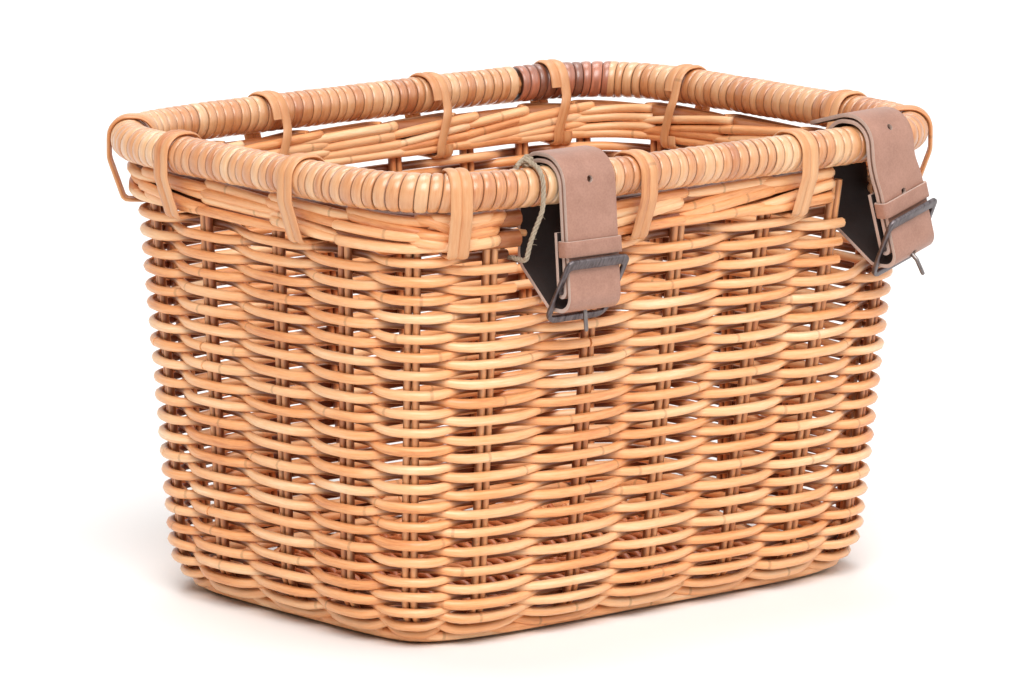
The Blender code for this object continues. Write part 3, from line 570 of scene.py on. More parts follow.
def cane_finish(name, stops, roughness=0.38, marks=0.65):
    """Peeled cane: streaks along it, its own tone, leaf rings, and painted shade where the weave's
    canes lie deep.
    """
    finish = Finish(name)
    place = finish.attribute("cane", "Vector")
    fine = finish.noise(place, (60, 1.3, 1.3), scale=2.4, detail=5.0, roughness=0.6)
    broad = finish.noise(place, (14, 0.5, 0.5), scale=1.6, detail=3.0)
    colour = finish.ramp(finish.varied_tone((fine, 0.55), (broad, 0.9)), stops)
    travel = finish.add("ShaderNodeSeparateXYZ", None, i0=place).outputs[0]
    ring = finish.add("ShaderNodeTexVoronoi", {"voronoi_dimensions": "1D"}, Scale=1.0,
                      W=finish.value("MULTIPLY", travel, RINGS_A_METRE))
    band = finish.ranged(ring.outputs["Distance"], 0.003, 0.010, marks, 0.0, "SMOOTHSTEP")
    ringed = finish.mixed(finish.value("MULTIPLY", band, fine), colour, RING_COLOUR)
    # Painted shade: sides of canes that lie deep in the weave are darkened towards the shade colour
    painted_shade_amount = finish.ranged(finish.attribute("painted_shade"), 0.42, 0.90, 0.0, 0.90, "SMOOTHSTEP")
    return finish.done(finish.value("SUBTRACT", fine, band), 0.35, 0.0002, {
        "Base Color": finish.mixed(painted_shade_amount, ringed, PAINTED_SHADE_COLOUR),
        "Roughness": finish.ranged(fine, 0.25, 0.75, roughness - 0.08, roughness + 0.12),
        "Coat Weight": 0.2, "Coat Roughness": 0.3})


def strip_finish(name, stops, groove_shade_colour):
    """Split cane wrapped round the rim: glossy skin, a tone for each turn, and painted shade
    between turns.
    """
    finish = Finish(name)
    place = finish.attribute("cane", "Vector")
    fine = finish.noise(place, (70, 3.0, 1.0), scale=2.0, detail=5.0, roughness=0.65)
    blotch = finish.noise(place, (34, 0.7, 1.0), scale=1.7, detail=2.0)
    colour = finish.ramp(finish.varied_tone((fine, 0.5), (blotch, 0.7)), stops)
    # Painted shade between the turns, where the strip's edges sink
    shade = finish.ranged(finish.attribute("groove_shade"), 0.35, 1.0, 0.0, 0.92, "SMOOTHSTEP")
    return finish.done(fine, 0.3, 0.0002, {
        "Base Color": finish.mixed(shade, colour, (*groove_shade_colour, 1)),
        "Roughness": finish.ranged(fine, 0.25, 0.75, 0.24, 0.42),
        "Coat Weight": 0.8, "Coat Roughness": 0.28})


def stick_finish(name, stops):
    """Cane whose streaks follow the object's own length, for the sticks and the hoop inside."""
    finish = Finish(name)
    fine = finish.noise(finish.object_place(), (18, 420, 420), scale=1.0, detail=4.0)
    return finish.done(fine, 0.3, 0.0002, {"Base Color": finish.ramp(fine, stops),
                                           "Roughness": 0.5})


def leather_finish(name, low, high, grain=900.0, depth=0.25, roughness=0.55):
    """Leather with pores, creases and a slow change of colour."""
    finish = Finish(name)
    place = finish.object_place()
    pores = finish.add("ShaderNodeTexVoronoi", {"feature": "F1"}, Vector=place, Scale=grain)
    patches = finish.noise(place, None, scale=70.0, detail=6.0, roughness=0.65)
    blend = finish.value("MULTIPLY_ADD", pores.outputs["Distance"], 0.25, patches)
    return finish.done(blend, depth, 0.0003, {
        "Base Color": finish.ramp(blend, [(0.40, low), (0.80, high)]),
        "Roughness": finish.ranged(patches, 0.3, 0.7, roughness - 0.1, roughness + 0.1)})


def metal_finish(name, low, high, roughness):
    """Plated metal with faint rubbing."""
    finish = Finish(name)
    rub = finish.noise(finish.object_place(), (400, 90, 90), scale=2.0, detail=4.0)
    return finish.done(rub, 0.08, 0.0002, {
        "Base Color": finish.ramp(rub, [(0.3, low), (0.7, high)]), "Metallic": 1.0,
        "Roughness": finish.ranged(rub, 0.3, 0.7, roughness - 0.07, roughness + 0.12)})


def twine_finish(name, low, high):
    """Twisted plant fibre, matt and hairy."""
    finish = Finish(name)
    place = finish.attribute("cane", "Vector")
    fine = finish.noise(place, (260, 1.6, 1.6), scale=2.5, detail=5.0)
    return finish.done(fine, 0.7, 0.0003, {
        "Base Color": finish.ramp(fine, [(0.3, low), (0.7, high)]), "Roughness": 0.9})


# ---- settings that a user would change

def length_setting(name, description, default):
    """Length property."""
    return bpy.props.FloatProperty(name=name, description=description, default=default, min=0.0,
                                   unit="LENGTH", precision=5)


def colour_setting(name, description, default):
    """Colour property."""
    return bpy.props.FloatVectorProperty(name=name, description=description, default=default,
                                         size=3, min=0.0, max=1.0, subtype="COLOR")


def strength_setting(name, description, default):
    """Strength of a light."""
    return bpy.props.FloatProperty(name=name, description=description, default=default, min=0.0)


def angle_setting(name, description, degrees):
    """Angle property."""
    return bpy.props.FloatProperty(name=name, description=description,
                                   default=math.radians(degrees), subtype="ANGLE")


class WickerSettings(bpy.types.PropertyGroup):
    """Canes of the wall, the foot, the base and the border."""

    weaver_diameter: length_setting("Weaver", "Diameter of the canes woven round the wall", 0.0052)
    row_pitch: length_setting("Row pitch", "Height from one woven row to the next", 0.00478)
    swing: length_setting("Swing", "How far a weaver lies from the wall's middle", 0.0041)
    stake_diameter: length_setting("Stake", "Diameter of one cane of a stake pair", 0.0043)
    core_radius: length_setting("Border core", "Radius of the rods inside the border", 0.0044)
    rod_diameter: length_setting("Border rod", "Diameter of the rods in the border", 0.0057)
    pale: colour_setting("Pale cane", "Colour of the palest canes", (0.94, 0.555, 0.29))
    middle: colour_setting("Cane", "Colour of most of the canes", (0.85, 0.38, 0.148))
    deep: colour_setting("Deep cane", "Colour of the darkest canes", (0.54, 0.15, 0.040))


class RimSettings(bpy.types.PropertyGroup):
    """Wrapping strip of the rim and the lashings."""

    strip_width: length_setting("Strip width", "Width of one turn of the strip", 0.0060)
    lashing_pitch: length_setting("Lashing pitch", "Between a lashing's two strands", 0.0054)
    lashing_width: length_setting("Lashing width", "Width of one strand of a lashing", 0.0057)
    crown: length_setting("Crown", "Rise of the strip's middle over its edges", 0.0013)
    pale: colour_setting("Pale strip", "Colour of the palest turns", (0.78, 0.455, 0.235))
    middle: colour_setting("Strip", "Colour of most turns", (0.64, 0.275, 0.107))
    deep: colour_setting("Deep strip", "Colour of the deepest turns", (0.36, 0.09, 0.026))
    dark: colour_setting("Dark stretch", "Colour of the stretch at the back corner",
                         (0.30, 0.105, 0.058))
    # Painted shade between two turns of the strip
    groove_shade: colour_setting("Between turns", "Colour between two turns", (0.12, 0.035, 0.012))


class LeatherSettings(bpy.types.PropertyGroup):
    """Straps and keepers."""

    grain: colour_setting("Grain side", "Colour of the smooth side", (0.43, 0.225, 0.163))
    grain_low: colour_setting("Grain shade", "Darker patches of it", (0.33, 0.16, 0.11))
    # Flesh side darkened nearly to black: its own dark colour and painted shade in the straps'
    # slots
    suede_and_shade: colour_setting("Flesh side", "Colour of the rough side", (0.022, 0.010, 0.008))
    edge: colour_setting("Cut edge", "Colour of the cut edges", (0.62, 0.46, 0.39))
    edge_round: length_setting("Edge rounding", "Rounding of the leather's edges", 0.0004)


class MetalSettings(bpy.types.PropertyGroup):
    """Buckles and their tongues."""

    frame: colour_setting("Frame", "Colour of the buckle frames", (0.20, 0.175, 0.18))
    frame_low: colour_setting("Frame shade", "Darker colour of the frames", (0.07, 0.055, 0.058))
    tongue: colour_setting("Tongue", "Colour of the wire tongues", (0.26, 0.225, 0.215))
    edge_round: length_setting("Edge rounding", "Rounding of the frame's edges", 0.0009)


class TieSettings(bpy.types.PropertyGroup):
    """Twine tied round the rim."""

    ply_radius: length_setting("Ply radius", "Radius of one of the twine's plies", 0.00072)
    lay: length_setting("Lay", "Length of one twist of the plies", 0.0085)
    pale: colour_setting("Pale fibre", "Pale colour of the fibres", (0.58, 0.48, 0.36))
    deep: colour_setting("Deep fibre", "Dark colour of the fibres", (0.23, 0.165, 0.11))


class StageSettings(bpy.types.PropertyGroup):
    """Floor, lamps and camera."""

    floor: colour_setting("Floor", "Colour of the floor", (0.93, 0.93, 0.93))
    sky: strength_setting("Sky", "Strength of the even light", 0.18)
    key: strength_setting("Key lamp", "Strength of the broad main lamp", 2.75)
    fill: strength_setting("Fill lamp", "Strength of the second lamp", 0.75)
    top: strength_setting("Top lamp", "Strength of the lamp above", 1.35)
    lens: bpy.props.FloatProperty(name="Lens", description="Focal length in millimetres",
                                  default=243.48, min=20.0)
    distance: length_setting("Distance", "From the camera to its target", 3.614)
    azimuth: angle_setting("Azimuth", "Turn of the camera round the basket", -41.4)
    elevation: angle_setting("Elevation", "Height of the camera as an angle", 10.4)
    roll: angle_setting("Roll", "Turn of the picture", 0.4)


def wicker_looks():
    """Finishes of the weavers, the stakes and the border's rods."""
    names = ("weaver_finish", "stake_finish", "rod_finish")
    if names[0] in bpy.data.materials:
        return [bpy.data.materials[name] for name in names]
    cane = bpy.context.scene.basket_wicker
    stops = [(0.0, cane.deep), (0.35, cane.middle), (0.72, cane.pale), (1.0, SUNNY_CANE)]
    plain = [(0.0, cane.deep), (0.5, cane.middle), (1.0, cane.pale)]
    return [cane_finish(names[0], stops), cane_finish(names[1], plain, marks=0.5),
            cane_finish(names[2], stops, roughness=0.42)]


# ---- wall, foot and base

def weave_row(shape, chance, row, start, end, place, level, swing, radius, tucked=True):
    """One weaver from one place round to another, with its ends tucked inside or cut off."""
    shares = span_shares(start, end)
    lifts = [chance.uniform(-ROW_LIFT, ROW_LIFT) for _ in ROUND_SHARES]
    tones = [0.52 + chance.uniform(-0.22, 0.22) for _ in ROUND_SHARES]
    waves = [in_and_out(share, row) for share in shares]
    points = []
    tone = []
    for share, wave in zip(shares, waves):
        number, part = stake_place(share)
        height = level + blended(lifts, number + part) - WEAVE_SAG * wave
        points.append(place(share, height, WALL_THICKNESS / 2 - swing * wave))
        tone.append(blended(tones, number + part))
    if tucked:
        for index in (0, -1):
            inner = -Vector((points[index].x, points[index].y, 0)).normalized()
            points[index] = points[index] + inner * END_TUCK
    radii = [radius * (0.90 + 0.10 * abs(wave)) for wave in waves]
    lay_cane(shape, points, radii, tone, UP, start=chance.uniform(0, 4),
             painted_shade=painted_shade_by_depth(waves))


class BASKET_OT_wall(bpy.types.Operator):
    """Weave the wall over and under the stake pairs, with a slot for each strap"""

    bl_idname = "basket.wall"
    bl_label = "Woven wall"

    def execute(self, context):
        cane = context.scene.basket_wicker
        chance = random.Random(11)
        shape = begin()
        near, far = STRAPS["near"], STRAPS["far"]
        near_edges, far_edges = ([data["share"] + side / ROUND_LENGTH for side in data["slot"]]
                                 for data in (near, far))
        radius = cane.weaver_diameter / 2
        level = FOOT_RADIUS + cane.row_pitch * 0.55
        row = 0
        while level < WALL_TOP - radius * 0.2:
            size = radius * chance.uniform(0.92, 1.03)
            tucked = False
            if level > BORDER_BOTTOM - near["slot_depth"] - size:
                runs = [(near_edges[1], far_edges[0]), (far_edges[1], 1 + near_edges[0])]
            elif level > BORDER_BOTTOM - far["slot_depth"] - size:
                runs = [(far_edges[1], 1 + far_edges[0])]
            elif chance.random() < JOINED_OUTSIDE:
                first = chance.choice(range(len(ROUND_SHARES)))
                first += (first + row) % 2
                start = stake_share(first) + chance.uniform(-0.003, 0.003)
                runs = [(start, start + BUTTED_ROUND)]
            else:
                first = BACK_STAKE + chance.choice(range(BACK_STAKE))
                first += (first + row + 1) % 2
                start = stake_share(first) + PAST_STAKE
                runs = [(start, start + LAPPED_ROUND)]
                tucked = True
            for start, end in runs:
                weave_row(shape, chance, row, start, end, wall_place, level, cane.swing, size,
                          tucked)
            level += cane.row_pitch
            row += 1
        close_shape(shape)
        show("wall_weave", shape, [wicker_looks()[0]], "woven_wall", "woven_cane")
        return {"FINISHED"}


def twist_rod(shape, chance, twist, rod, radius):
    """One rod of a three-rod twist: over two stake pairs, then behind one and down."""
    tones = [0.5 + chance.uniform(-0.2, 0.2) for _ in ROUND_SHARES]
    points = []
    tone = []
    waves = []
    for share in span_shares(*TWIST_ROUND):
        number, part = stake_place(share)
        place = (number + part + rod + 1.5 * twist) % 3
        behind = smooth(place - 1.9) if place > 1.5 else 1 - smooth(place * 2.5)
        slant = 1 - place if place < 2 else 2 * place - 5
        depth = radius + (WALL_THICKNESS * 0.62 - radius) * behind
        points.append(foot_place(share, TWIST_TRAVELS[twist] - TWIST_SLANT * slant, depth))
        tone.append(blended(tones, number + part))
        waves.append(1 - 2 * behind)
    lay_cane(shape, points, radius * chance.uniform(0.94, 1.06), tone, UP,
             start=chance.uniform(0, 4), painted_shade=painted_shade_by_depth(waves))


class BASKET_OT_foot(bpy.types.Operator):
    """Weave the rows that turn under at the foot and twist the rows that lock them"""

    bl_idname = "basket.foot"
    bl_label = "Foot"

    def execute(self, context):
        cane = context.scene.basket_wicker
        chance = random.Random(12)
        shape = begin()
        radius = cane.weaver_diameter / 2
        travel = cane.row_pitch * 0.45
        row = 1
        while travel < FOOT_RADIUS * 1.12:
            first = chance.choice(range(BACK_STAKE, BACK_STAKE + 8))
            first += (first + row + 1) % 2
            start = stake_share(first) + PAST_STAKE
            weave_row(shape, chance, row, start, start + LAPPED_ROUND, foot_place, travel,
                      cane.swing, radius * chance.uniform(0.9, 1.05))
            travel += cane.row_pitch
            row += 1
        for twist in range(len(TWIST_TRAVELS)):
            for rod in range(3):
                twist_rod(shape, chance, twist, rod, radius)
        close_shape(shape)
        show("foot_rows", shape, [wicker_looks()[0]], "foot_upsett", "woven_cane")
        return {"FINISHED"}


class BASKET_OT_base(bpy.types.Operator):
    """Weave the base across its sticks"""

    bl_idname = "basket.base"
    bl_label = "Base"

    def execute(self, context):
        chance = random.Random(13)
        shape = begin()
        half_length = FOOT_HALF_LENGTH - FOOT_RADIUS - 0.0018
        half_width = FOOT_HALF_WIDTH - FOOT_RADIUS + BASE_TUCK
        count = math.floor(half_length / BASE_PITCH)
        for number in range(-count, count + 1):
            across = number * BASE_PITCH
            left = 1 - abs(across / (half_length + BASE_TUCK)) ** PLAN_EXPONENT
            edge = half_width * left ** (1 / PLAN_EXPONENT)
            points = []
            waves = []
            for step in range(BASE_CANE_STEPS + 1):
                place = -edge + 2 * edge * step / BASE_CANE_STEPS
                swing = math.cos(math.pi * place / STICK_PITCH) * (-1 if number % 2 else 1)
                wave = flat_topped(swing)
                waves.append(-wave)
                points.append(Vector((across, place, WALL_THICKNESS / 2 + BASE_SWING * wave)))
            radius = BASE_CANE_RADIUS * chance.uniform(0.94, 1.06)
            tone = 0.5 + chance.uniform(-0.2, 0.2)
            lay_cane(shape, points, radius, tone, Vector((1, 0, 0)), start=chance.uniform(0, 4),
                     painted_shade=painted_shade_by_depth(waves))
        close_shape(shape)
        cane = context.scene.basket_wicker
        # The base's canes darker than the wall's, as painted shade inside the basket
        shaded_base = cane_finish("base_finish", [(0.0, BASE_SHADE_CANE), (0.5, cane.deep),
                                               (1.0, cane.middle)], roughness=0.5)
        show("base_rows", shape, [shaded_base], "base_weave", "woven_cane")
        inner = stick_finish("stick_cane", [(0.3, cane.deep), (0.7, cane.middle)])
        for name in ["rim_core"] + [f"base_stick_{number + 1}" for number in range(STICK_COUNT)]:
            finish_node(name, inner)
        return {"FINISHED"}


def stake_line(share):
    """Middle of a stake pair, from its root in the base's edge up to its end in the border."""
    middle = WALL_THICKNESS / 2
    bend = FOOT_RADIUS - middle
    centres = [wall_place(share, middle, FOOT_RADIUS + STAKE_ROOT)]
    for step in range(9):
        angle = math.pi / 2 * step / 8
        centres.append(wall_place(share, FOOT_RADIUS - bend * math.cos(angle),
                                  FOOT_RADIUS - bend * math.sin(angle)))
    rise = BORDER_BOTTOM + STAKE_SOCKET - FOOT_RADIUS
    for step in range(1, 13):
        centres.append(wall_place(share, FOOT_RADIUS + rise * step / 12, middle))
    return centres


class BASKET_OT_stakes(bpy.types.Operator):
    """Stand the stake pairs, two round canes each, from the base through the foot to the border"""

    bl_idname = "basket.stakes"
    bl_label = "Stakes"

    def execute(self, context):
        chance = random.Random(14)
        look = wicker_looks()[1]
        radius = context.scene.basket_wicker.stake_diameter / 2
        for number, share in enumerate(STAKE_SHARES):
            along = FOOT_PLAN.place(share)[2]
            shape = begin()
            for side in (-1, 1):
                wobble = [chance.uniform(-0.0003, 0.0003) for _ in range(7)]
                points = [centre + along * (side * radius * 1.01 + blended(wobble, step / 4))
                          for step, centre in enumerate(stake_line(share))]
                size = radius * chance.uniform(0.93, 1.0)
                tone = 0.42 + chance.uniform(-0.2, 0.2)
                # Painted shade on each stake cane's two sides, none on its face
                lay_cane(shape, points, size, tone, along, start=chance.uniform(0, 4),
                         painted_shade=lambda row, across, out: 0.36 + 0.42 * abs(across))
            close_shape(shape)
            show(f"stake_canes_{number + 1:02d}", shape, [look],
                 f"stake_pair_{number + 1:02d}", "inner_cane")
        return {"FINISHED"}


# ---- border

def rod_between(shape, chance, first, end, low, high, radius, front=None):
    """Rod from a share to another: in front of the border, or behind it where front is None."""
    length = abs(end - first) * ROUND_LENGTH
    sense = 1 if end > first else -1
    if front is None:
        face = BORDER_INSET - radius
        back = 0.0105
        facing = -sense
    else:
        face = -BORDER_OVERHANG + radius + front
        back = 0.0072
        facing = sense
    stops = [(0.0, back, 0.0), (0.0010, (back * 2 + face) / 3, 0.0),
             (0.0030, (back + face * 3) / 4, 0.0), (ROD_HEAD, face, 0.02)]
    steps = max(4, round(length / ROD_STEP))
    for step in range(1, steps + 1):
        part = step / steps
        tuck = smooth((part - 0.62) / 0.38)
        stops.append((ROD_HEAD + (length - ROD_HEAD) * part, face + (back - face) * 0.62 * tuck,
                      part))
    points = []
    radii = []
    waves = []
    for travel, depth, part in stops:
        share = first + sense * travel / ROUND_LENGTH
        points.append(rim_place(share, low + (high - low) * part, depth))
        radii.append(radius * (1 - 0.35 * smooth((part - 0.5) / 0.5)))
        # How deep each side of the rod lies, which sets its painted shade
        waves.append(facing * (1 - 1.6 * abs(depth - face) / abs(back - face)))
    tone = 0.48 + chance.uniform(-0.26, 0.26)
    lay_cane(shape, points, radii, tone, UP, start=chance.uniform(0, 4), sides=ROD_SIDES,
             painted_shade=painted_shade_by_depth(waves))


def front_rods(shape, chance, radius, step, open_runs):
    """Rods that run in front of the border, down from one stake pair and past the next."""
    for number in range(len(ROUND_SHARES) + 1):
        for layer in range(BORDER_LAYERS):
            size = radius * chance.uniform(0.88, 1.04)
            level = BORDER_BOTTOM + radius + step * layer + chance.uniform(-0.0012, 0.0012)
            slant = chance.uniform(*ROD_SLANTS)
            first = stake_share(number) % 1
            sense = -1 if first < 0.55 else 1
            spans = 1.25 + chance.uniform(-0.1, 0.35)
            turn = round(first - stake_share(number))
            whole = math.floor(spans)
            reach = stake_share(number + sense * whole)
            further = stake_share(number + sense * (whole + 1))
            end = reach + (further - reach) * (spans - whole) + turn
            end = max(end, -0.004) if sense < 0 else min(end, 1.012)
            first += (chance.uniform(-0.005, 0.005) + 0.002 * (layer - 1)) / ROUND_LENGTH
            start_height = min(level + slant / 2, BORDER_TOP - size)
            end_height = max(level - slant / 2, BORDER_BOTTOM + size * 0.8)
            for low, high in open_runs:
                if low < first < high:
                    first = low
                if first >= high > end:
                    end = high
            if abs(first - end) * ROUND_LENGTH > SHORTEST_ROD:
                front = chance.uniform(-0.0004, 0.0022)
                rod_between(shape, chance, first, end, start_height, end_height, size, front)


def back_rods(shape, chance, radius, step, open_runs):
    """Rods that run behind the border, from one stake pair to the next and a little on."""
    for number in range(len(ROUND_SHARES)):
        for layer in range(BORDER_LAYERS):
            size = radius * chance.uniform(0.80, 0.98)
            low = BORDER_TOP - size - step * layer
            high = max(low - chance.uniform(*ROD_SLANTS), BORDER_BOTTOM + size)
            first = stake_share(number) + chance.uniform(-0.006, 0.006) / ROUND_LENGTH
            end = stake_share(number + 1) + chance.uniform(0.010, 0.030)
            for start, stop in open_runs:
                if start < first < stop:
                    first = stop
                if first <= start < end:
                    end = start
            if (end - first) * ROUND_LENGTH > SHORTEST_ROD:
                rod_between(shape, chance, first, end, low, high, size)


class BASKET_OT_border(bpy.types.Operator):
    """Lay the rods of the border between the wall and the rim"""

    bl_idname = "basket.border"
    bl_label = "Border"

    def execute(self, context):
        cane = context.scene.basket_wicker
        chance = random.Random(15)
        shape = begin()
        radius = cane.rod_diameter / 2
        step = (BORDER_HEIGHT - 2 * radius) / (BORDER_LAYERS - 1)
        open_runs = [(data["share"] + low / ROUND_LENGTH, data["share"] + high / ROUND_LENGTH)
                     for data, (low, high) in zip(STRAPS.values(), BORDER_OPENINGS)]
        front_rods(shape, chance, radius, step, open_runs)
        back_rods(shape, chance, radius, step, open_runs)
        near, far = open_runs
        # Core rods inside the border, the ends of the stakes: their low tone and fixed painted
        # shade make them dark, standing in for the shade deep in the border
        for first, end in ((near[1], far[0]), (far[1], 1 + near[0])):
            for height in (BORDER_BOTTOM + cane.core_radius, BORDER_TOP - cane.core_radius * 1.2):
                points = [rim_place(share, height, (BORDER_INSET - BORDER_OVERHANG) / 2)
                          for share in span_shares(first, end)]
                lay_cane(shape, points, cane.core_radius, 0.2, UP, sides=ROD_SIDES,
                         painted_shade=lambda row, across, out: 0.72)
        close_shape(shape)
        show("border_rods", shape, [wicker_looks()[2]], "border_plait", "woven_cane")
        return {"FINISHED"}


# ---- rim and lashings

def wrap_strip(shape, chance, start, end, width, crown):
    """Strip wound round the rim between two shares: the grid's rows run along the winding."""
    length = (end - start) * ROUND_LENGTH
    turns = round(length / width)
    edges = [number + chance.uniform(-0.17, 0.17) for number in range(turns + 3)]
    edges[0] = 0
    tones = [0.48 + chance.uniform(-0.30, 0.30) for _ in range(turns + 3)]
    proud = [chance.uniform(-0.0003, 0.0) for _ in range(turns + 3)]
    lean = [chance.uniform(-0.0004, 0.0004) for _ in range(turns + 3)]
    depth = [1.0 if chance.random() > 0.15 else 1.8 for _ in range(turns + 3)]
    streak = shape.verts.layers.float_vector["cane"]
    shade = shape.verts.layers.float["tone"]
    between = shape.verts.layers.float["groove_shade"]
    rows = turns * len(TURN_STOPS)
    bmesh.ops.create_grid(shape, x_segments=RIM_SIDES, y_segments=rows, size=1)
    shape.verts.ensure_lookup_table()
    scale = length / turns / ROUND_LENGTH
    for row in range(rows + 1):
        number, stop = divmod(row, len(TURN_STOPS))
        across, rise = TURN_STOPS[stop]
        for column in range(RIM_SIDES + 1):
            part = column / RIM_SIDES
            low = edges[number] * (1 - part) + edges[number + 1] * part
            high = edges[number + 1] * (1 - part) + edges[number + 2] * part
            place = min(low + (high - low) * across, turns + 1)
            mix = [values[number] * (1 - part) + values[number + 1] * part
                   for values in (tones, proud, lean, depth)]
            angle = 2 * math.pi * part - math.pi / 2
            point, normal, _ = RIM_PLAN.place(start + place * scale)
            radius = (RIM_RADIUS + mix[1] - crown * mix[3] * (1 - rise)
                      + mix[2] * (across - 0.5) * rise)
            vert = shape.verts[row * (RIM_SIDES + 1) + column]
            vert.co = (point + normal * (radius * math.cos(angle))
                       + Vector((0, 0, RIM_HEIGHT + radius * math.sin(angle))))
            vert[streak] = ((number + part) * RIM_GIRTH, abs(2 * across - 1), 0.0)
            vert[shade] = mix[0]
            # Share of painted shade between turns, deepest where the strip's edges sink
            vert[between] = min(1.0, (1 - rise) * mix[3])
    close_shape(shape)


class BASKET_OT_rim(bpy.types.Operator):
    """Wrap the rim's hoop with the strip, and its dark stretch at the back corner"""

    bl_idname = "basket.rim"
    bl_label = "Rim wrapping"

    def execute(self, context):
        rim = context.scene.basket_rim
        light = strip_finish("rim_strip", [(0.0, rim.deep), (0.38, rim.middle), (0.75, rim.pale),
                                           (1.0, (0.95, 0.75, 0.51))], rim.groove_shade)
        low = tuple(value * 0.45 for value in rim.dark)
        high = tuple(min(1, value * 2.6) for value in rim.dark)
        # The dark stretch, with near-black painted shade between its turns
        dark = strip_finish("rim_strip_dark", [(0.0, low), (0.45, rim.dark), (1.0, high)],
                            (0.02, 0.006, 0.003))
        first, last = DARK_BINDING_SHARES
        runs = (("rim_wrapping", last - 0.002, 1 + first + 0.002, light, "rim_binding", 21,
                 "peeled_cane"),
                ("rim_wrapping_dark", first, last - 0.004, dark, "rim_binding_dark", 22,
                 "dark_cane"))
        for name, start, end, look, node, seed, slot in runs:
            shape = begin()
            shape.verts.layers.float.new("groove_shade")
            wrap_strip(shape, random.Random(seed), start, end, rim.strip_width, rim.crown)
            show(name, shape, [look], node, slot)
        return {"FINISHED"}


class BASKET_OT_lashings(bpy.types.Operator):
    """Tie the rim to the border with double cane lashings"""

    bl_idname = "basket.lashings"
    bl_label = "Lashings"

    def execute(self, context):
        rim = context.scene.basket_rim
        chance = random.Random(16)
        look = cane_finish("lashing_cane", [(0.0, rim.deep), (0.4, rim.middle), (1.0, rim.pale)],
                           roughness=0.42)
        thick = rim.lashing_width * 0.19
        reach = thick + SEAT_GAP
        round_rim = RIM_RADIUS + thick * 0.7
        low = BORDER_BOTTOM - RIM_HEIGHT - reach
        inside = -BORDER_INSET - reach
        shoulder = BORDER_TOP - RIM_HEIGHT
        corners = [(inside, low + BORDER_HEIGHT / 3), (inside, low), (BORDER_OVERHANG + reach, low),
                   (round_rim, shoulder), (round_rim, round_rim), (-round_rim, round_rim),
                   (inside, shoulder)]
        radii = [0, LASHING_CORNER, LASHING_CORNER, LASHING_SHOULDER, round_rim * 0.96,
                 round_rim * 0.96, LASHING_SHOULDER]
        outline = filleted(corners + corners[:1], radii + radii[:1], arc_step=FINE_ARC)
        outline = evened(outline, 0.0022)
        lengths = running_lengths(outline)
        for name, share in LASHINGS:
            points = []
            _, normal, along = RIM_PLAN.place(share)
            for loop, end in ((0, 1.0), (1, 0.80)):
                for flat, length in zip(outline[:-1], lengths):
                    part = length / lengths[-1]
                    if part > end:
                        break
                    moved = min(max((part - 0.84) / 0.16, 0), 1)
                    side = rim.lashing_pitch * (min(loop + moved, 1) - 0.5)
                    centre = rim_place(share + side / ROUND_LENGTH, RIM_HEIGHT, 0)
                    points.append(centre + normal * flat.x + Vector((0, 0, flat.y)))
            tones = [0.55 + chance.uniform(-0.15, 0.15) for _ in range(6)]
            tone = [blended(tones, row / 18) for row in range(len(points))]
            shape = begin()
            lay_cane(shape, points, rim.lashing_width / 2, tone, along,
                     start=chance.uniform(0, 4), sides=12, flatten=thick * 2 / rim.lashing_width)
            close_shape(shape)
            show(f"lashing_{name}_cane", shape, [look], f"lashing_{name}", "peeled_cane")
        return {"FINISHED"}


# ---- straps and their fittings

def rim_frame(share, lean):
    """Matrix of a frame on the rim: X along it, -Y outwards, origin at the rim's centre."""
    step = math.floor(share * PLAN_POINTS)
    low = rim_place(step / PLAN_POINTS, RIM_HEIGHT, 0)
    high = rim_place((step + 1) / PLAN_POINTS, RIM_HEIGHT, 0)
    point = low.lerp(high, share * PLAN_POINTS - step)
    normal = RIM_PLAN.place(share)[1]
    turn = Matrix.Rotation(math.atan2(normal.x, -normal.y), 4, "Z")
    return Matrix.Translation(point) @ turn @ Matrix.Rotation(lean, 4, "Y")


def strap_frame(name):
    """Matrix of a strap's own frame."""
    return rim_frame(STRAPS[name]["share"], STRAPS[name]["lean"])


def at_place(name, out, height, angle):
    """Matrix of a fitting at a place in a strap's frame, turned about the frame's X."""
    return (strap_frame(name) @ Matrix.Translation((0, -out, height))
            @ Matrix.Rotation(angle, 4, "X"))


def fold_sizes():
    """Radius of the fold round the bar, and its directions in the plane of outward and up."""
    fold = BAR_RADIUS + PRONG_EYE_GAP + STRAP_THICKNESS / 2
    near_rim = RIM_RADIUS + STRAP_RIM_GAP + STRAP_THICKNESS / 2
    reach = math.hypot(BAR_OUT, BAR_DROP)
    angle = math.acos((near_rim - fold) / reach) - math.atan2(BAR_DROP, BAR_OUT)
    up = Vector((-math.sin(angle), math.cos(angle)))
    out = Vector((math.cos(angle), math.sin(angle)))
    return fold, near_rim, angle, up, out


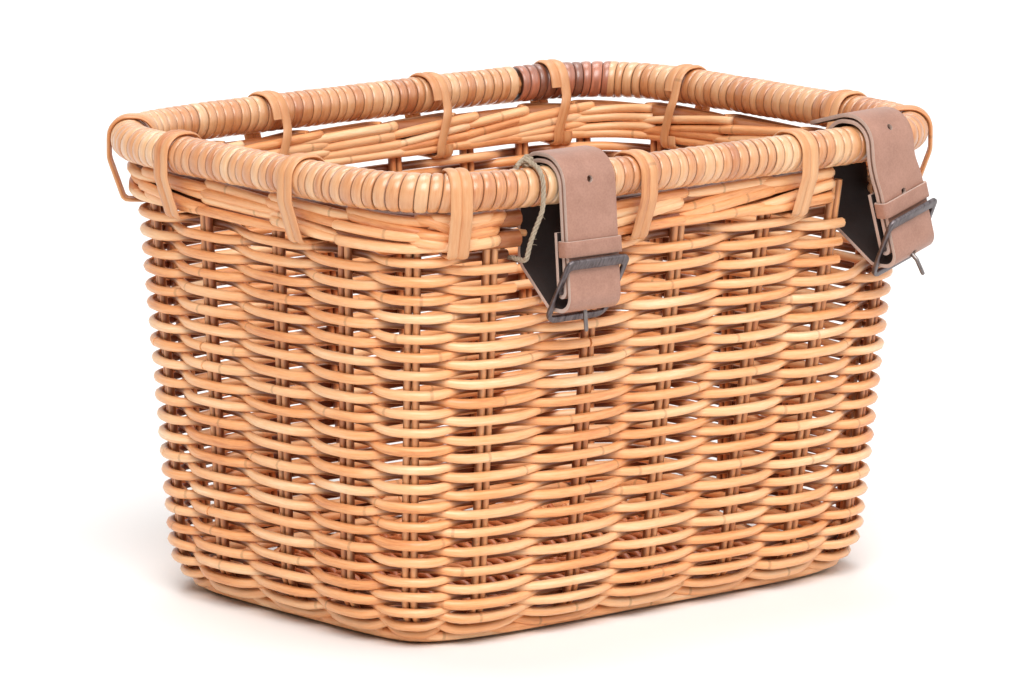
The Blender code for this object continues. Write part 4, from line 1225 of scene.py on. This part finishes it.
def strap_path(data):
    """Centre line of the leather from its fold to its tip, out from the rim's centre and up."""
    fold, near_rim, _, up, out = fold_sizes()
    apart = STRAP_THICKNESS + STRAP_LAYER_GAP
    far_rim = near_rim + apart
    inside = -BORDER_INSET - STRAP_WALL_GAP - STRAP_THICKNESS / 2
    slope = (far_rim - far_rim * out.y) / out.x
    turn = BAR + out * (fold + apart)
    turn += up * ((-TURN_DROP - turn.y) / up.y)
    stops = [
        (BAR - out * fold + up * FOLD_LENGTH, 0),
        (BAR - out * fold - up * fold, fold),
        (BAR + out * fold - up * fold, fold),
        (((near_rim - near_rim * out.y) / out.x, near_rim), near_rim),
        ((-near_rim, near_rim), near_rim),
        ((inside, BORDER_TOP - RIM_HEIGHT), SLOT_BEND_RADIUS),
        ((inside, -SLOT_BEND_DROP), SLOT_BEND_RADIUS),
        ((TURN_OUT, -TURN_DROP), TURN_BACK_RADIUS),
        (turn, TURN_FRONT_RADIUS),
        ((slope, far_rim), far_rim),
        ((-data["tip_bend"], far_rim), data["tip_radius"]),
        (data["tip_end"], 0),
    ]
    return filleted([tuple(stop) for stop, _ in stops], [radius for _, radius in stops])


def eased_lean(lean, height):
    """Turn that undoes the lean at the rim and fades out on the way down to the buckle."""
    return Matrix.Rotation(-lean * (1 - smooth(-height / LEAN_DROP)), 3, "Y")


def crossing(path, start, direction):
    """Furthest place, as a distance along the path, where a ray passes through the leather."""
    lengths = running_lengths(path)
    found = []
    for index, (first, second) in enumerate(zip(path, path[1:])):
        run = second - first
        cross = direction.x * run.y - direction.y * run.x
        if abs(cross) < NEARLY_PARALLEL:
            continue
        gap = first - start
        ray = (gap.x * run.y - gap.y * run.x) / cross
        part = (gap.x * direction.y - gap.y * direction.x) / cross
        if 0 <= part <= 1 and ray > 0:
            found.append((ray, lengths[index] + part * run.length))
    return max(found)


def add_rod(shape, start, end, radius, sides=16):
    """Round rod between two points."""
    run = Vector(end) - Vector(start)
    turn = run.to_track_quat("Z", "Y").to_matrix().to_4x4()
    matrix = Matrix.Translation((Vector(start) + Vector(end)) / 2) @ turn
    bmesh.ops.create_cone(shape, cap_ends=True, segments=sides, radius1=radius, radius2=radius,
                          depth=run.length, matrix=matrix)


def sheet_shape(rows):
    """Bmesh of a surface through rows of points."""
    shape = bmesh.new()
    columns = len(rows[0])
    bmesh.ops.create_grid(shape, x_segments=columns - 1, y_segments=len(rows) - 1, size=1)
    shape.verts.ensure_lookup_table()
    for index, vert in enumerate(shape.verts):
        vert.co = rows[index // columns][index % columns]
    bmesh.ops.remove_doubles(shape, verts=shape.verts, dist=WELD)
    bmesh.ops.recalc_face_normals(shape, faces=shape.faces)
    return shape


def leather_looks():
    """Finishes of the leather: smooth side, rough side with painted shade, and cut edge."""
    names = ("leather_grain", "leather_suede", "leather_edge")
    if names[0] in bpy.data.materials:
        return [bpy.data.materials[name] for name in names]
    hide = bpy.context.scene.basket_leather
    dull = tuple(value * 0.6 for value in hide.suede_and_shade)
    pale = tuple(value * 0.75 for value in hide.edge)
    return [leather_finish(names[0], hide.grain_low, hide.grain, roughness=0.42),
            leather_finish(names[1], dull, hide.suede_and_shade, grain=1500, depth=0.5, roughness=0.85),
            leather_finish(names[2], pale, hide.edge, grain=2500, depth=0.4, roughness=0.8)]


def thicken(item, thickness):
    """Give a leather surface its thickness, with its own flesh side and edge."""
    change = item.modifiers.new("thickness", "SOLIDIFY")
    change.thickness = thickness
    change.offset = 0
    change.use_even_offset = True
    change.material_offset = 1
    change.material_offset_rim = 2


def round_edges(item, width, segments=2):
    """Round the sharp edges, and apply all the object's modifiers."""
    change = item.modifiers.new("edges", "BEVEL")
    change.width = width
    change.segments = segments
    change.limit_method = "ANGLE"
    change.angle_limit = math.radians(50)
    settle(item)


def cut_with(item, shape):
    """Cut leather with a bmesh by an exact boolean that is then applied."""
    cutter = new_item("cutter", shape, [item.data.materials[2]])
    cutter.matrix_world = item.matrix_world
    change = item.modifiers.new("cut", "BOOLEAN")
    change.operation = "DIFFERENCE"
    change.solver = "EXACT"
    change.object = cutter
    change.material_mode = "TRANSFER"
    settle(item)
    bpy.data.objects.remove(cutter, do_unlink=True)


def place_in(item, matrix):
    """Move a mesh into place, so that its object stays at the origin."""
    item.data.transform(matrix)
    item.data.update()


def strap_rows(path, lean):
    """Rows of points across the leather, closer together where its tip is rounded."""
    total = running_lengths(path)[-1]
    shaped = path[:1]
    for point in path[1:]:
        run = point - shaped[-1]
        steps = max(1, math.ceil(run.length / STRAP_STEP))
        shaped += [shaped[-1] + run * step / steps for step in range(1, steps + 1)]
    shaped = [point for point, length in zip(shaped, running_lengths(shaped))
              if length < total - TIP_LENGTH]
    shaped += [along_path(path, total - TIP_LENGTH * share)[0] for share in TIP_SHARES]
    rows = []
    lengths = running_lengths(shaped)
    for point, length in zip(shaped, lengths):
        left = min(max(lengths[-1] - length, 0) / TIP_LENGTH, 1)
        width = STRAP_WIDTH / 2 * (0.5 + 0.5 * math.sqrt(max(0, 1 - (1 - left) ** 2)))
        turn = eased_lean(lean, point.y)
        rows.append([turn @ Vector((side * width, -point.x, point.y)) for side in STRAP_SIDES])
    return rows


def strap_holes(path, data):
    """Bmesh of the hole that the tongue goes through, and of two spare holes."""
    angle = data["prong"] + data["hole_shift"]
    aim = Vector((math.sin(angle), -math.cos(angle)))
    base = BAR + Vector((aim.y, -aim.x)) * PRONG_EYE
    reach, at_prong = crossing(path, base, aim)
    start = base + aim * (reach - 2 * STRAP_THICKNESS)
    end = base + aim * (reach + 2 * STRAP_THICKNESS)
    holes = bmesh.new()
    add_rod(holes, (0, -start.x, start.y), (0, -end.x, end.y), PRONG_HOLE_RADIUS)
    for number in (1, 2):
        point, run = along_path(path, at_prong + number * HOLE_PITCH)
        across = Vector((run.y, -run.x)) * STRAP_THICKNESS
        turn = eased_lean(data["lean"], point.y)
        low, high = (turn @ Vector((0, -spot.x, spot.y))
                     for spot in (point - across, point + across))
        add_rod(holes, low, high, HOLE_RADIUS)
    return holes


def eye_slot():
    """Bmesh of the slot in the fold that leaves room for the tongue's eye."""
    wide = 2 * (PRONG_RADIUS + SLOT_PLAY)
    deep = 2 * (PRONG_EYE + PRONG_RADIUS + SLOT_PLAY)
    matrix = Matrix.Translation((0, -BAR.x, BAR.y)) @ Matrix.Diagonal((wide, deep, deep, 1))
    slot = bmesh.new()
    bmesh.ops.create_cube(slot, size=1, matrix=matrix)
    return slot


class BASKET_OT_straps(bpy.types.Operator):
    """Bend the leather straps round the buckle bar, over the rim, through the wall and back"""

    bl_idname = "basket.straps"
    bl_label = "Straps"

    def execute(self, context):
        for name, data in STRAPS.items():
            path = strap_path(data)
            item = show(f"{name}_strap_leather", sheet_shape(strap_rows(path, data["lean"])),
                        leather_looks(), f"{name}_strap", "leather")
            thicken(item, STRAP_THICKNESS)
            settle(item)
            cut_with(item, strap_holes(path, data))
            cut_with(item, eye_slot())
            round_edges(item, context.scene.basket_leather.edge_round)
            place_in(item, strap_frame(name))
        return {"FINISHED"}


class BASKET_OT_keepers(bpy.types.Operator):
    """Put the leather keeper loops round each strap's fold and tip"""

    bl_idname = "basket.keepers"
    bl_label = "Keepers"

    def execute(self, context):
        fold, _, angle, up, _ = fold_sizes()
        back = fold - STRAP_THICKNESS / 2 - KEEPER_GAP - KEEPER_THICKNESS / 2
        front = (fold + STRAP_THICKNESS + STRAP_LAYER_GAP + STRAP_THICKNESS / 2 + KEEPER_GAP
                 + KEEPER_THICKNESS / 2)
        side = STRAP_WIDTH / 2 + KEEPER_GAP + KEEPER_THICKNESS / 2
        corners = [(-side, -back), (side, -back), (side, -front), (-side, -front)]
        loop = filleted(corners, [KEEPER_CORNER] * 4, closed=True, arc_step=math.radians(20))
        loop.append(loop[0])
        centre = BAR + up * KEEPER_RISE
        rows = [[Vector((point.x, point.y, KEEPER_HEIGHT / 2 * level)) for point in loop]
                for level in (-1, -0.5, 0, 0.5, 1)]
        for name in STRAPS:
            item = show(f"{name}_keeper_loop", sheet_shape(rows), leather_looks(),
                        f"{name}_keeper", "leather")
            thicken(item, KEEPER_THICKNESS)
            round_edges(item, 0.0004)
            place_in(item, at_place(name, centre.x, centre.y, -angle))
        return {"FINISHED"}


class BASKET_OT_stitching(bpy.types.Operator):
    """Finish the thread that closes each strap's fold"""

    bl_idname = "basket.stitching"
    bl_label = "Stitching"

    def execute(self, context):
        look = leather_finish("waxed_thread", (0.42, 0.30, 0.18), (0.66, 0.52, 0.36),
                              grain=4000, depth=0.5)
        for name in STRAPS:
            finish_node(f"{name}_fold_stitching", look)
        return {"FINISHED"}


def outline_edges(shape, outline, depth):
    """Loop of edges in the frame's plane."""
    verts = [shape.verts.new((point.x, depth, point.y)) for point in outline]
    return [shape.edges.new((verts[index - 1], verts[index])) for index in range(len(verts))]


def list_by_place(shape):
    """Sort the edges and faces by place, as an extrusion lists them differently each time."""
    def place(part):
        return sum((vert.co for vert in part.verts), Vector()).dot(LISTING_WAY) / len(part.verts)

    shape.edges.sort(key=place)
    shape.faces.sort(key=place)


def frame_shape():
    """Bmesh of a buckle's frame: a plate with rounded corners and one hole, and its bar."""
    half = FRAME_WIDTH / 2
    tall = FRAME_HEIGHT / 2
    inner = half - FRAME_SIDE
    outer = filleted([(-half, -tall), (half, -tall), (half, tall), (-half, tall)],
                     [FRAME_CORNER * 1.9] * 2 + [FRAME_CORNER] * 2, closed=True)
    hole = filleted([(-inner, -tall + FRAME_BOTTOM_BAR), (inner, -tall + FRAME_BOTTOM_BAR),
                     (inner, tall - FRAME_TOP_BAR), (-inner, tall - FRAME_TOP_BAR)],
                    [FRAME_CORNER - FRAME_SIDE + 0.0008] * 4, closed=True)
    shape = bmesh.new()
    edges = outline_edges(shape, outer, -FRAME_THICKNESS / 2)
    edges += outline_edges(shape, hole, -FRAME_THICKNESS / 2)
    bmesh.ops.triangle_fill(shape, edges=edges, use_beauty=True)
    bmesh.ops.dissolve_limit(shape, angle_limit=0.01, verts=shape.verts, edges=shape.edges)
    raised = bmesh.ops.extrude_face_region(shape, geom=list(shape.faces))
    verts = [part for part in raised["geom"] if isinstance(part, bmesh.types.BMVert)]
    bmesh.ops.translate(shape, vec=(0, FRAME_THICKNESS, 0), verts=verts)
    bmesh.ops.recalc_face_normals(shape, faces=shape.faces)
    list_by_place(shape)
    add_rod(shape, (-half + FRAME_SIDE / 2, 0, 0), (half - FRAME_SIDE / 2, 0, 0), BAR_RADIUS, 20)
    return shape


class BASKET_OT_buckles(bpy.types.Operator):
    """Form the buckle frames with their centre bars"""

    bl_idname = "basket.buckles"
    bl_label = "Buckles"

    def execute(self, context):
        metal = context.scene.basket_metal
        look = metal_finish("dark_metal", metal.frame_low, metal.frame, 0.36)
        for name in STRAPS:
            item = show(f"{name}_frame_metal", frame_shape(), [look], f"{name}_buckle_frame",
                        "gunmetal", f"{name}_buckle")
            round_edges(item, metal.edge_round, segments=3)
            place_in(item, at_place(name, BAR_OUT, -BAR_DROP, FRAME_TILT))
        return {"FINISHED"}


def tongue_line(bend):
    """Middle of a tongue's wire: round the bar, down to its knee and on to its point."""
    points = []
    for step in range(19):
        angle = FINE_ARC * step - math.pi / 2
        points.append(Vector((0, -PRONG_EYE * math.cos(angle), PRONG_EYE * math.sin(angle))))
    knee = PRONG_LENGTH * PRONG_KNEE_SHARE
    rest = PRONG_LENGTH - knee
    corner = points[-1] - Vector((0, 0, knee))
    points.append(points[-1].lerp(corner, 0.5))
    for share in (-KNEE_ROUND, 0.0, KNEE_ROUND):
        turn = bend * (share + KNEE_ROUND) / (2 * KNEE_ROUND)
        points.append(corner + Vector((0, -math.sin(turn), -math.cos(turn))) * (rest * share))
    way = Vector((0, -math.sin(bend), -math.cos(bend)))
    return points + [corner + way * (rest * share) for share in (0.5, 0.8, 0.92, 0.98, 1.0)]


class BASKET_OT_prongs(bpy.types.Operator):
    """Bend the wire tongues round the centre bars"""

    bl_idname = "basket.prongs"
    bl_label = "Tongues"

    def execute(self, context):
        metal = context.scene.basket_metal
        dull = tuple(value * 0.6 for value in metal.tongue)
        look = metal_finish("bright_metal", dull, metal.tongue, 0.3)
        for name, data in STRAPS.items():
            points = tongue_line(data["prong_bend"])
            radii = [PRONG_RADIUS] * (len(points) - 3)
            radii += [PRONG_RADIUS * share for share in (0.9, 0.68, 0.35)]
            shape = begin()
            lay_cane(shape, points, radii, 0.5, Vector((1, 0, 0)), sides=12)
            close_shape(shape)
            item = show(f"{name}_tongue_wire", shape, [look], f"{name}_buckle_prong", "nickel",
                        f"{name}_prong")
            place_in(item, at_place(name, BAR_OUT, -BAR_DROP, -data["prong"]))
        return {"FINISHED"}


def twist_twine(shape, chance, points, tie, up):
    """Three plies twisted round a path."""
    path = evened(points, TWINE_STEP)
    lengths = running_lengths(path)
    offset = TIE_RADIUS - tie.ply_radius
    for ply in range(3):
        turned = []
        for index, point in enumerate(path):
            after = path[min(index + 1, len(path) - 1)]
            ahead = (after - path[max(index - 1, 0)]).normalized()
            rise = (up - ahead * up.dot(ahead)).normalized()
            side = ahead.cross(rise)
            angle = 2 * math.pi * (lengths[index] / tie.lay + ply / 3)
            turned.append(point + rise * (offset * math.cos(angle))
                          + side * (offset * math.sin(angle)))
        lay_cane(shape, turned, tie.ply_radius, 0.5, up, sides=6, start=chance.uniform(0, 4))


def tie_knot(shape, chance, tie, matrix, centre):
    """Knot of the twine: three tilted loops and a tail."""
    for tilt, size in KNOT_LOOPS:
        loop = []
        for step in range(19):
            angle = 2 * math.pi * step / 18 * 0.94
            spot = Vector((size * math.cos(angle), size * math.sin(angle),
                           0.0009 * math.sin(2 * angle)))
            turn = Matrix.Rotation(tilt, 3, "X") @ Matrix.Rotation(tilt * 0.7, 3, "Z")
            loop.append(matrix @ (centre + turn @ spot))
        twist_twine(shape, chance, loop, tie, Vector((0.3, 0.2, 1)).normalized())
    tail = [matrix @ (centre + Vector(spot)) for spot in KNOT_TAIL]
    twist_twine(shape, chance, tail, tie, UP)


def tie_hairs(shape, chance, points, outwards, along):
    """Loose hairs that stand off the twine, away from the basket."""
    for _ in range(HAIR_COUNT):
        root = points[round(chance.random() * (len(points) - 1))]
        way = Vector([chance.uniform(-1, 1) for _ in range(3)]).normalized()
        if way.dot(outwards) < 0:
            way = -way
        hair = [root, root + way * 0.0024, root + way * 0.0040 + Vector((0, 0, -0.0009))]
        lay_cane(shape, hair, [0.00012, 0.0001, 0.00005], 0.5, along, sides=4)


class BASKET_OT_tie(bpy.types.Operator):
    """Tie the twine round the rim at the near strap's slot, with its knot on the rim"""

    bl_idname = "basket.tie"
    bl_label = "Twine"

    def execute(self, context):
        tie = context.scene.basket_tie
        chance = random.Random(17)
        reach = TIE_RADIUS + SEAT_GAP
        round_rim = RIM_RADIUS + reach
        low = BORDER_BOTTOM - RIM_HEIGHT - TIE_SLOT_DROP
        inside = -BORDER_INSET - reach
        shoulder = BORDER_TOP - RIM_HEIGHT
        corners = [(0, round_rim), (round_rim, round_rim), (round_rim, shoulder),
                   (BORDER_OVERHANG + reach, low), (inside, low), (inside, shoulder),
                   (-round_rim, round_rim), (-3 * reach, round_rim)]
        radii = [0, RIM_RADIUS, LASHING_SHOULDER, LASHING_CORNER, LASHING_CORNER,
                 LASHING_SHOULDER, RIM_RADIUS, 0]
        data = STRAPS["near"]
        offset = data["slot"][0] + TIE_RADIUS + SEAT_GAP
        matrix = rim_frame(data["share"] + offset / ROUND_LENGTH, 0)
        points = []
        for flat in evened(filleted(corners, radii, arc_step=FINE_ARC), 0.002):
            start, rise = (0.030, 0.026) if flat.x > 0 else (0.02, 0.03)
            slide = TIE_SLIDE * smooth((flat.y + start) / rise)
            points.append(matrix @ Vector((slide, -flat.x, flat.y)))
        turn = matrix.to_3x3()
        along = (turn @ Vector((1, 0, 0))).normalized()
        shape = begin()
        twist_twine(shape, chance, points, tie, along)
        tie_knot(shape, chance, tie, matrix, Vector((0.0046, 0.0030, round_rim + 0.0004)))
        tie_hairs(shape, chance, points, turn @ Vector((0, -1, 0.4)), along)
        close_shape(shape)
        show("twine_tie", shape, [twine_finish("plant_twine", tie.deep, tie.pale)], "jute_tie",
             "jute")
        return {"FINISHED"}


# ---- stage

def new_nodes(tree, *kinds):
    """Empty a node tree and add nodes of the given kinds."""
    tree.nodes.clear()
    return [tree.nodes.new("ShaderNode" + kind) for kind in kinds]


def add_lamp(name, way, spread, power, colour):
    """Broad soft lamp, the same everywhere, that shines from the side that way points to."""
    data = bpy.data.lights.new(name, "SUN")
    data.angle = math.radians(spread)
    data.energy = power
    data.color = colour
    lamp = bpy.data.objects.new(name, data)
    bpy.context.scene.collection.objects.link(lamp)
    lamp.location = Vector(way)
    lamp.rotation_euler = (-Vector(way)).to_track_quat("-Z", "Y").to_euler()


def add_camera(stage):
    """Camera that looks at the basket's middle from the photo's place."""
    data = bpy.data.cameras.new("camera")
    data.sensor_width = 36.0
    data.lens = stage.lens
    data.clip_end = 100
    camera = bpy.data.objects.new("camera", data)
    bpy.context.scene.collection.objects.link(camera)
    turn = stage.azimuth
    tilt = stage.elevation
    back = Vector((math.sin(turn) * math.cos(tilt), -math.cos(turn) * math.cos(tilt),
                   math.sin(tilt)))
    right = (-back).cross(UP).normalized()
    rise = right.cross(-back)
    level = math.cos(stage.roll)
    slant = math.sin(stage.roll)
    across = right * level + rise * slant
    upward = rise * level - right * slant
    matrix = Matrix((across, upward, back)).transposed().to_4x4()
    camera.matrix_world = Matrix.Translation(CAMERA_TARGET + back * stage.distance) @ matrix
    bpy.context.scene.camera = camera


class BASKET_OT_stage(bpy.types.Operator):
    """Set the floor, the even light, the lamps and the camera"""

    bl_idname = "basket.stage"
    bl_label = "Stage"

    def execute(self, context):
        stage = context.scene.basket_stage
        context.scene.view_settings.view_transform = "Standard"
        shape = bmesh.new()
        bmesh.ops.create_grid(shape, x_segments=1, y_segments=1, size=15)
        look = bpy.data.materials.new("pale_floor")
        look.use_nodes = True
        tree = look.node_tree
        end, matt = new_nodes(tree, "OutputMaterial", "BsdfDiffuse")
        matt.inputs["Color"].default_value = (*stage.floor, 1)
        tree.links.new(matt.outputs[0], end.inputs["Surface"])
        new_item("floor", shape, [look])

        world = bpy.data.worlds.new("even_light")
        context.scene.world = world
        world.use_nodes = True
        tree = world.node_tree
        end, mixed, light, seen, rays, most, more = new_nodes(
            tree, "OutputWorld", "MixShader", "Background", "Background", "LightPath", "Math",
            "Math")
        for node in (light, seen):
            node.inputs["Color"].default_value = (1, 1, 1, 1)
        light.inputs["Strength"].default_value = stage.sky
        most.operation = more.operation = "MAXIMUM"
        for source, target in (
                (rays.outputs["Is Camera Ray"], most.inputs[0]),
                (rays.outputs["Is Glossy Ray"], most.inputs[1]),
                (most.outputs[0], more.inputs[0]),
                (rays.outputs["Is Transmission Ray"], more.inputs[1]),
                (more.outputs[0], mixed.inputs[0]),
                (light.outputs[0], mixed.inputs[1]),
                (seen.outputs[0], mixed.inputs[2]),
                (mixed.outputs[0], end.inputs["Surface"])):
            tree.links.new(source, target)

        add_lamp("key_lamp", (-1.3, -1.7, 2.4), 42, stage.key, (1, 0.99, 0.97))
        add_lamp("fill_lamp", (1.4, -1.9, 1.9), 60, stage.fill, (1, 1, 1))
        add_lamp("top_lamp", (0.3, 0.7, 2.5), 35, stage.top, (1, 1, 1))
        add_camera(stage)
        return {"FINISHED"}


STEPS = ("stage", "wall", "foot", "base", "stakes", "border", "rim", "lashings", "straps",
         "keepers", "stitching", "buckles", "prongs", "tie")


class BASKET_PT_pieces(bpy.types.Panel):
    """Sidebar panel with the basket's pieces"""

    bl_idname = "BASKET_PT_pieces"
    bl_label = "Basket"
    bl_space_type = "VIEW_3D"
    bl_region_type = "UI"
    bl_category = "Basket"

    def draw(self, context):
        for step in STEPS:
            self.layout.operator(f"basket.{step}")


SETTINGS = {"basket_wicker": WickerSettings, "basket_rim": RimSettings,
            "basket_leather": LeatherSettings, "basket_metal": MetalSettings,
            "basket_tie": TieSettings, "basket_stage": StageSettings}
OPERATORS = (BASKET_OT_stage, BASKET_OT_wall, BASKET_OT_foot, BASKET_OT_base, BASKET_OT_stakes,
             BASKET_OT_border, BASKET_OT_rim, BASKET_OT_lashings, BASKET_OT_straps,
             BASKET_OT_keepers, BASKET_OT_stitching, BASKET_OT_buckles, BASKET_OT_prongs,
             BASKET_OT_tie)


def register():
    """Register the settings, the operators and the panel."""
    for name, kind in SETTINGS.items():
        bpy.utils.register_class(kind)
        setattr(bpy.types.Scene, name, bpy.props.PointerProperty(type=kind))
    for kind in OPERATORS:
        bpy.utils.register_class(kind)
    bpy.utils.register_class(BASKET_PT_pieces)


def unregister():
    """Take them out again."""
    bpy.utils.unregister_class(BASKET_PT_pieces)
    for kind in reversed(OPERATORS):
        bpy.utils.unregister_class(kind)
    for name, kind in reversed(SETTINGS.items()):
        delattr(bpy.types.Scene, name)
        bpy.utils.unregister_class(kind)


def main():
    """Make every piece in order."""
    register()
    for step in STEPS:
        getattr(bpy.ops.basket, step)()


if __name__ == "__main__":
    main()
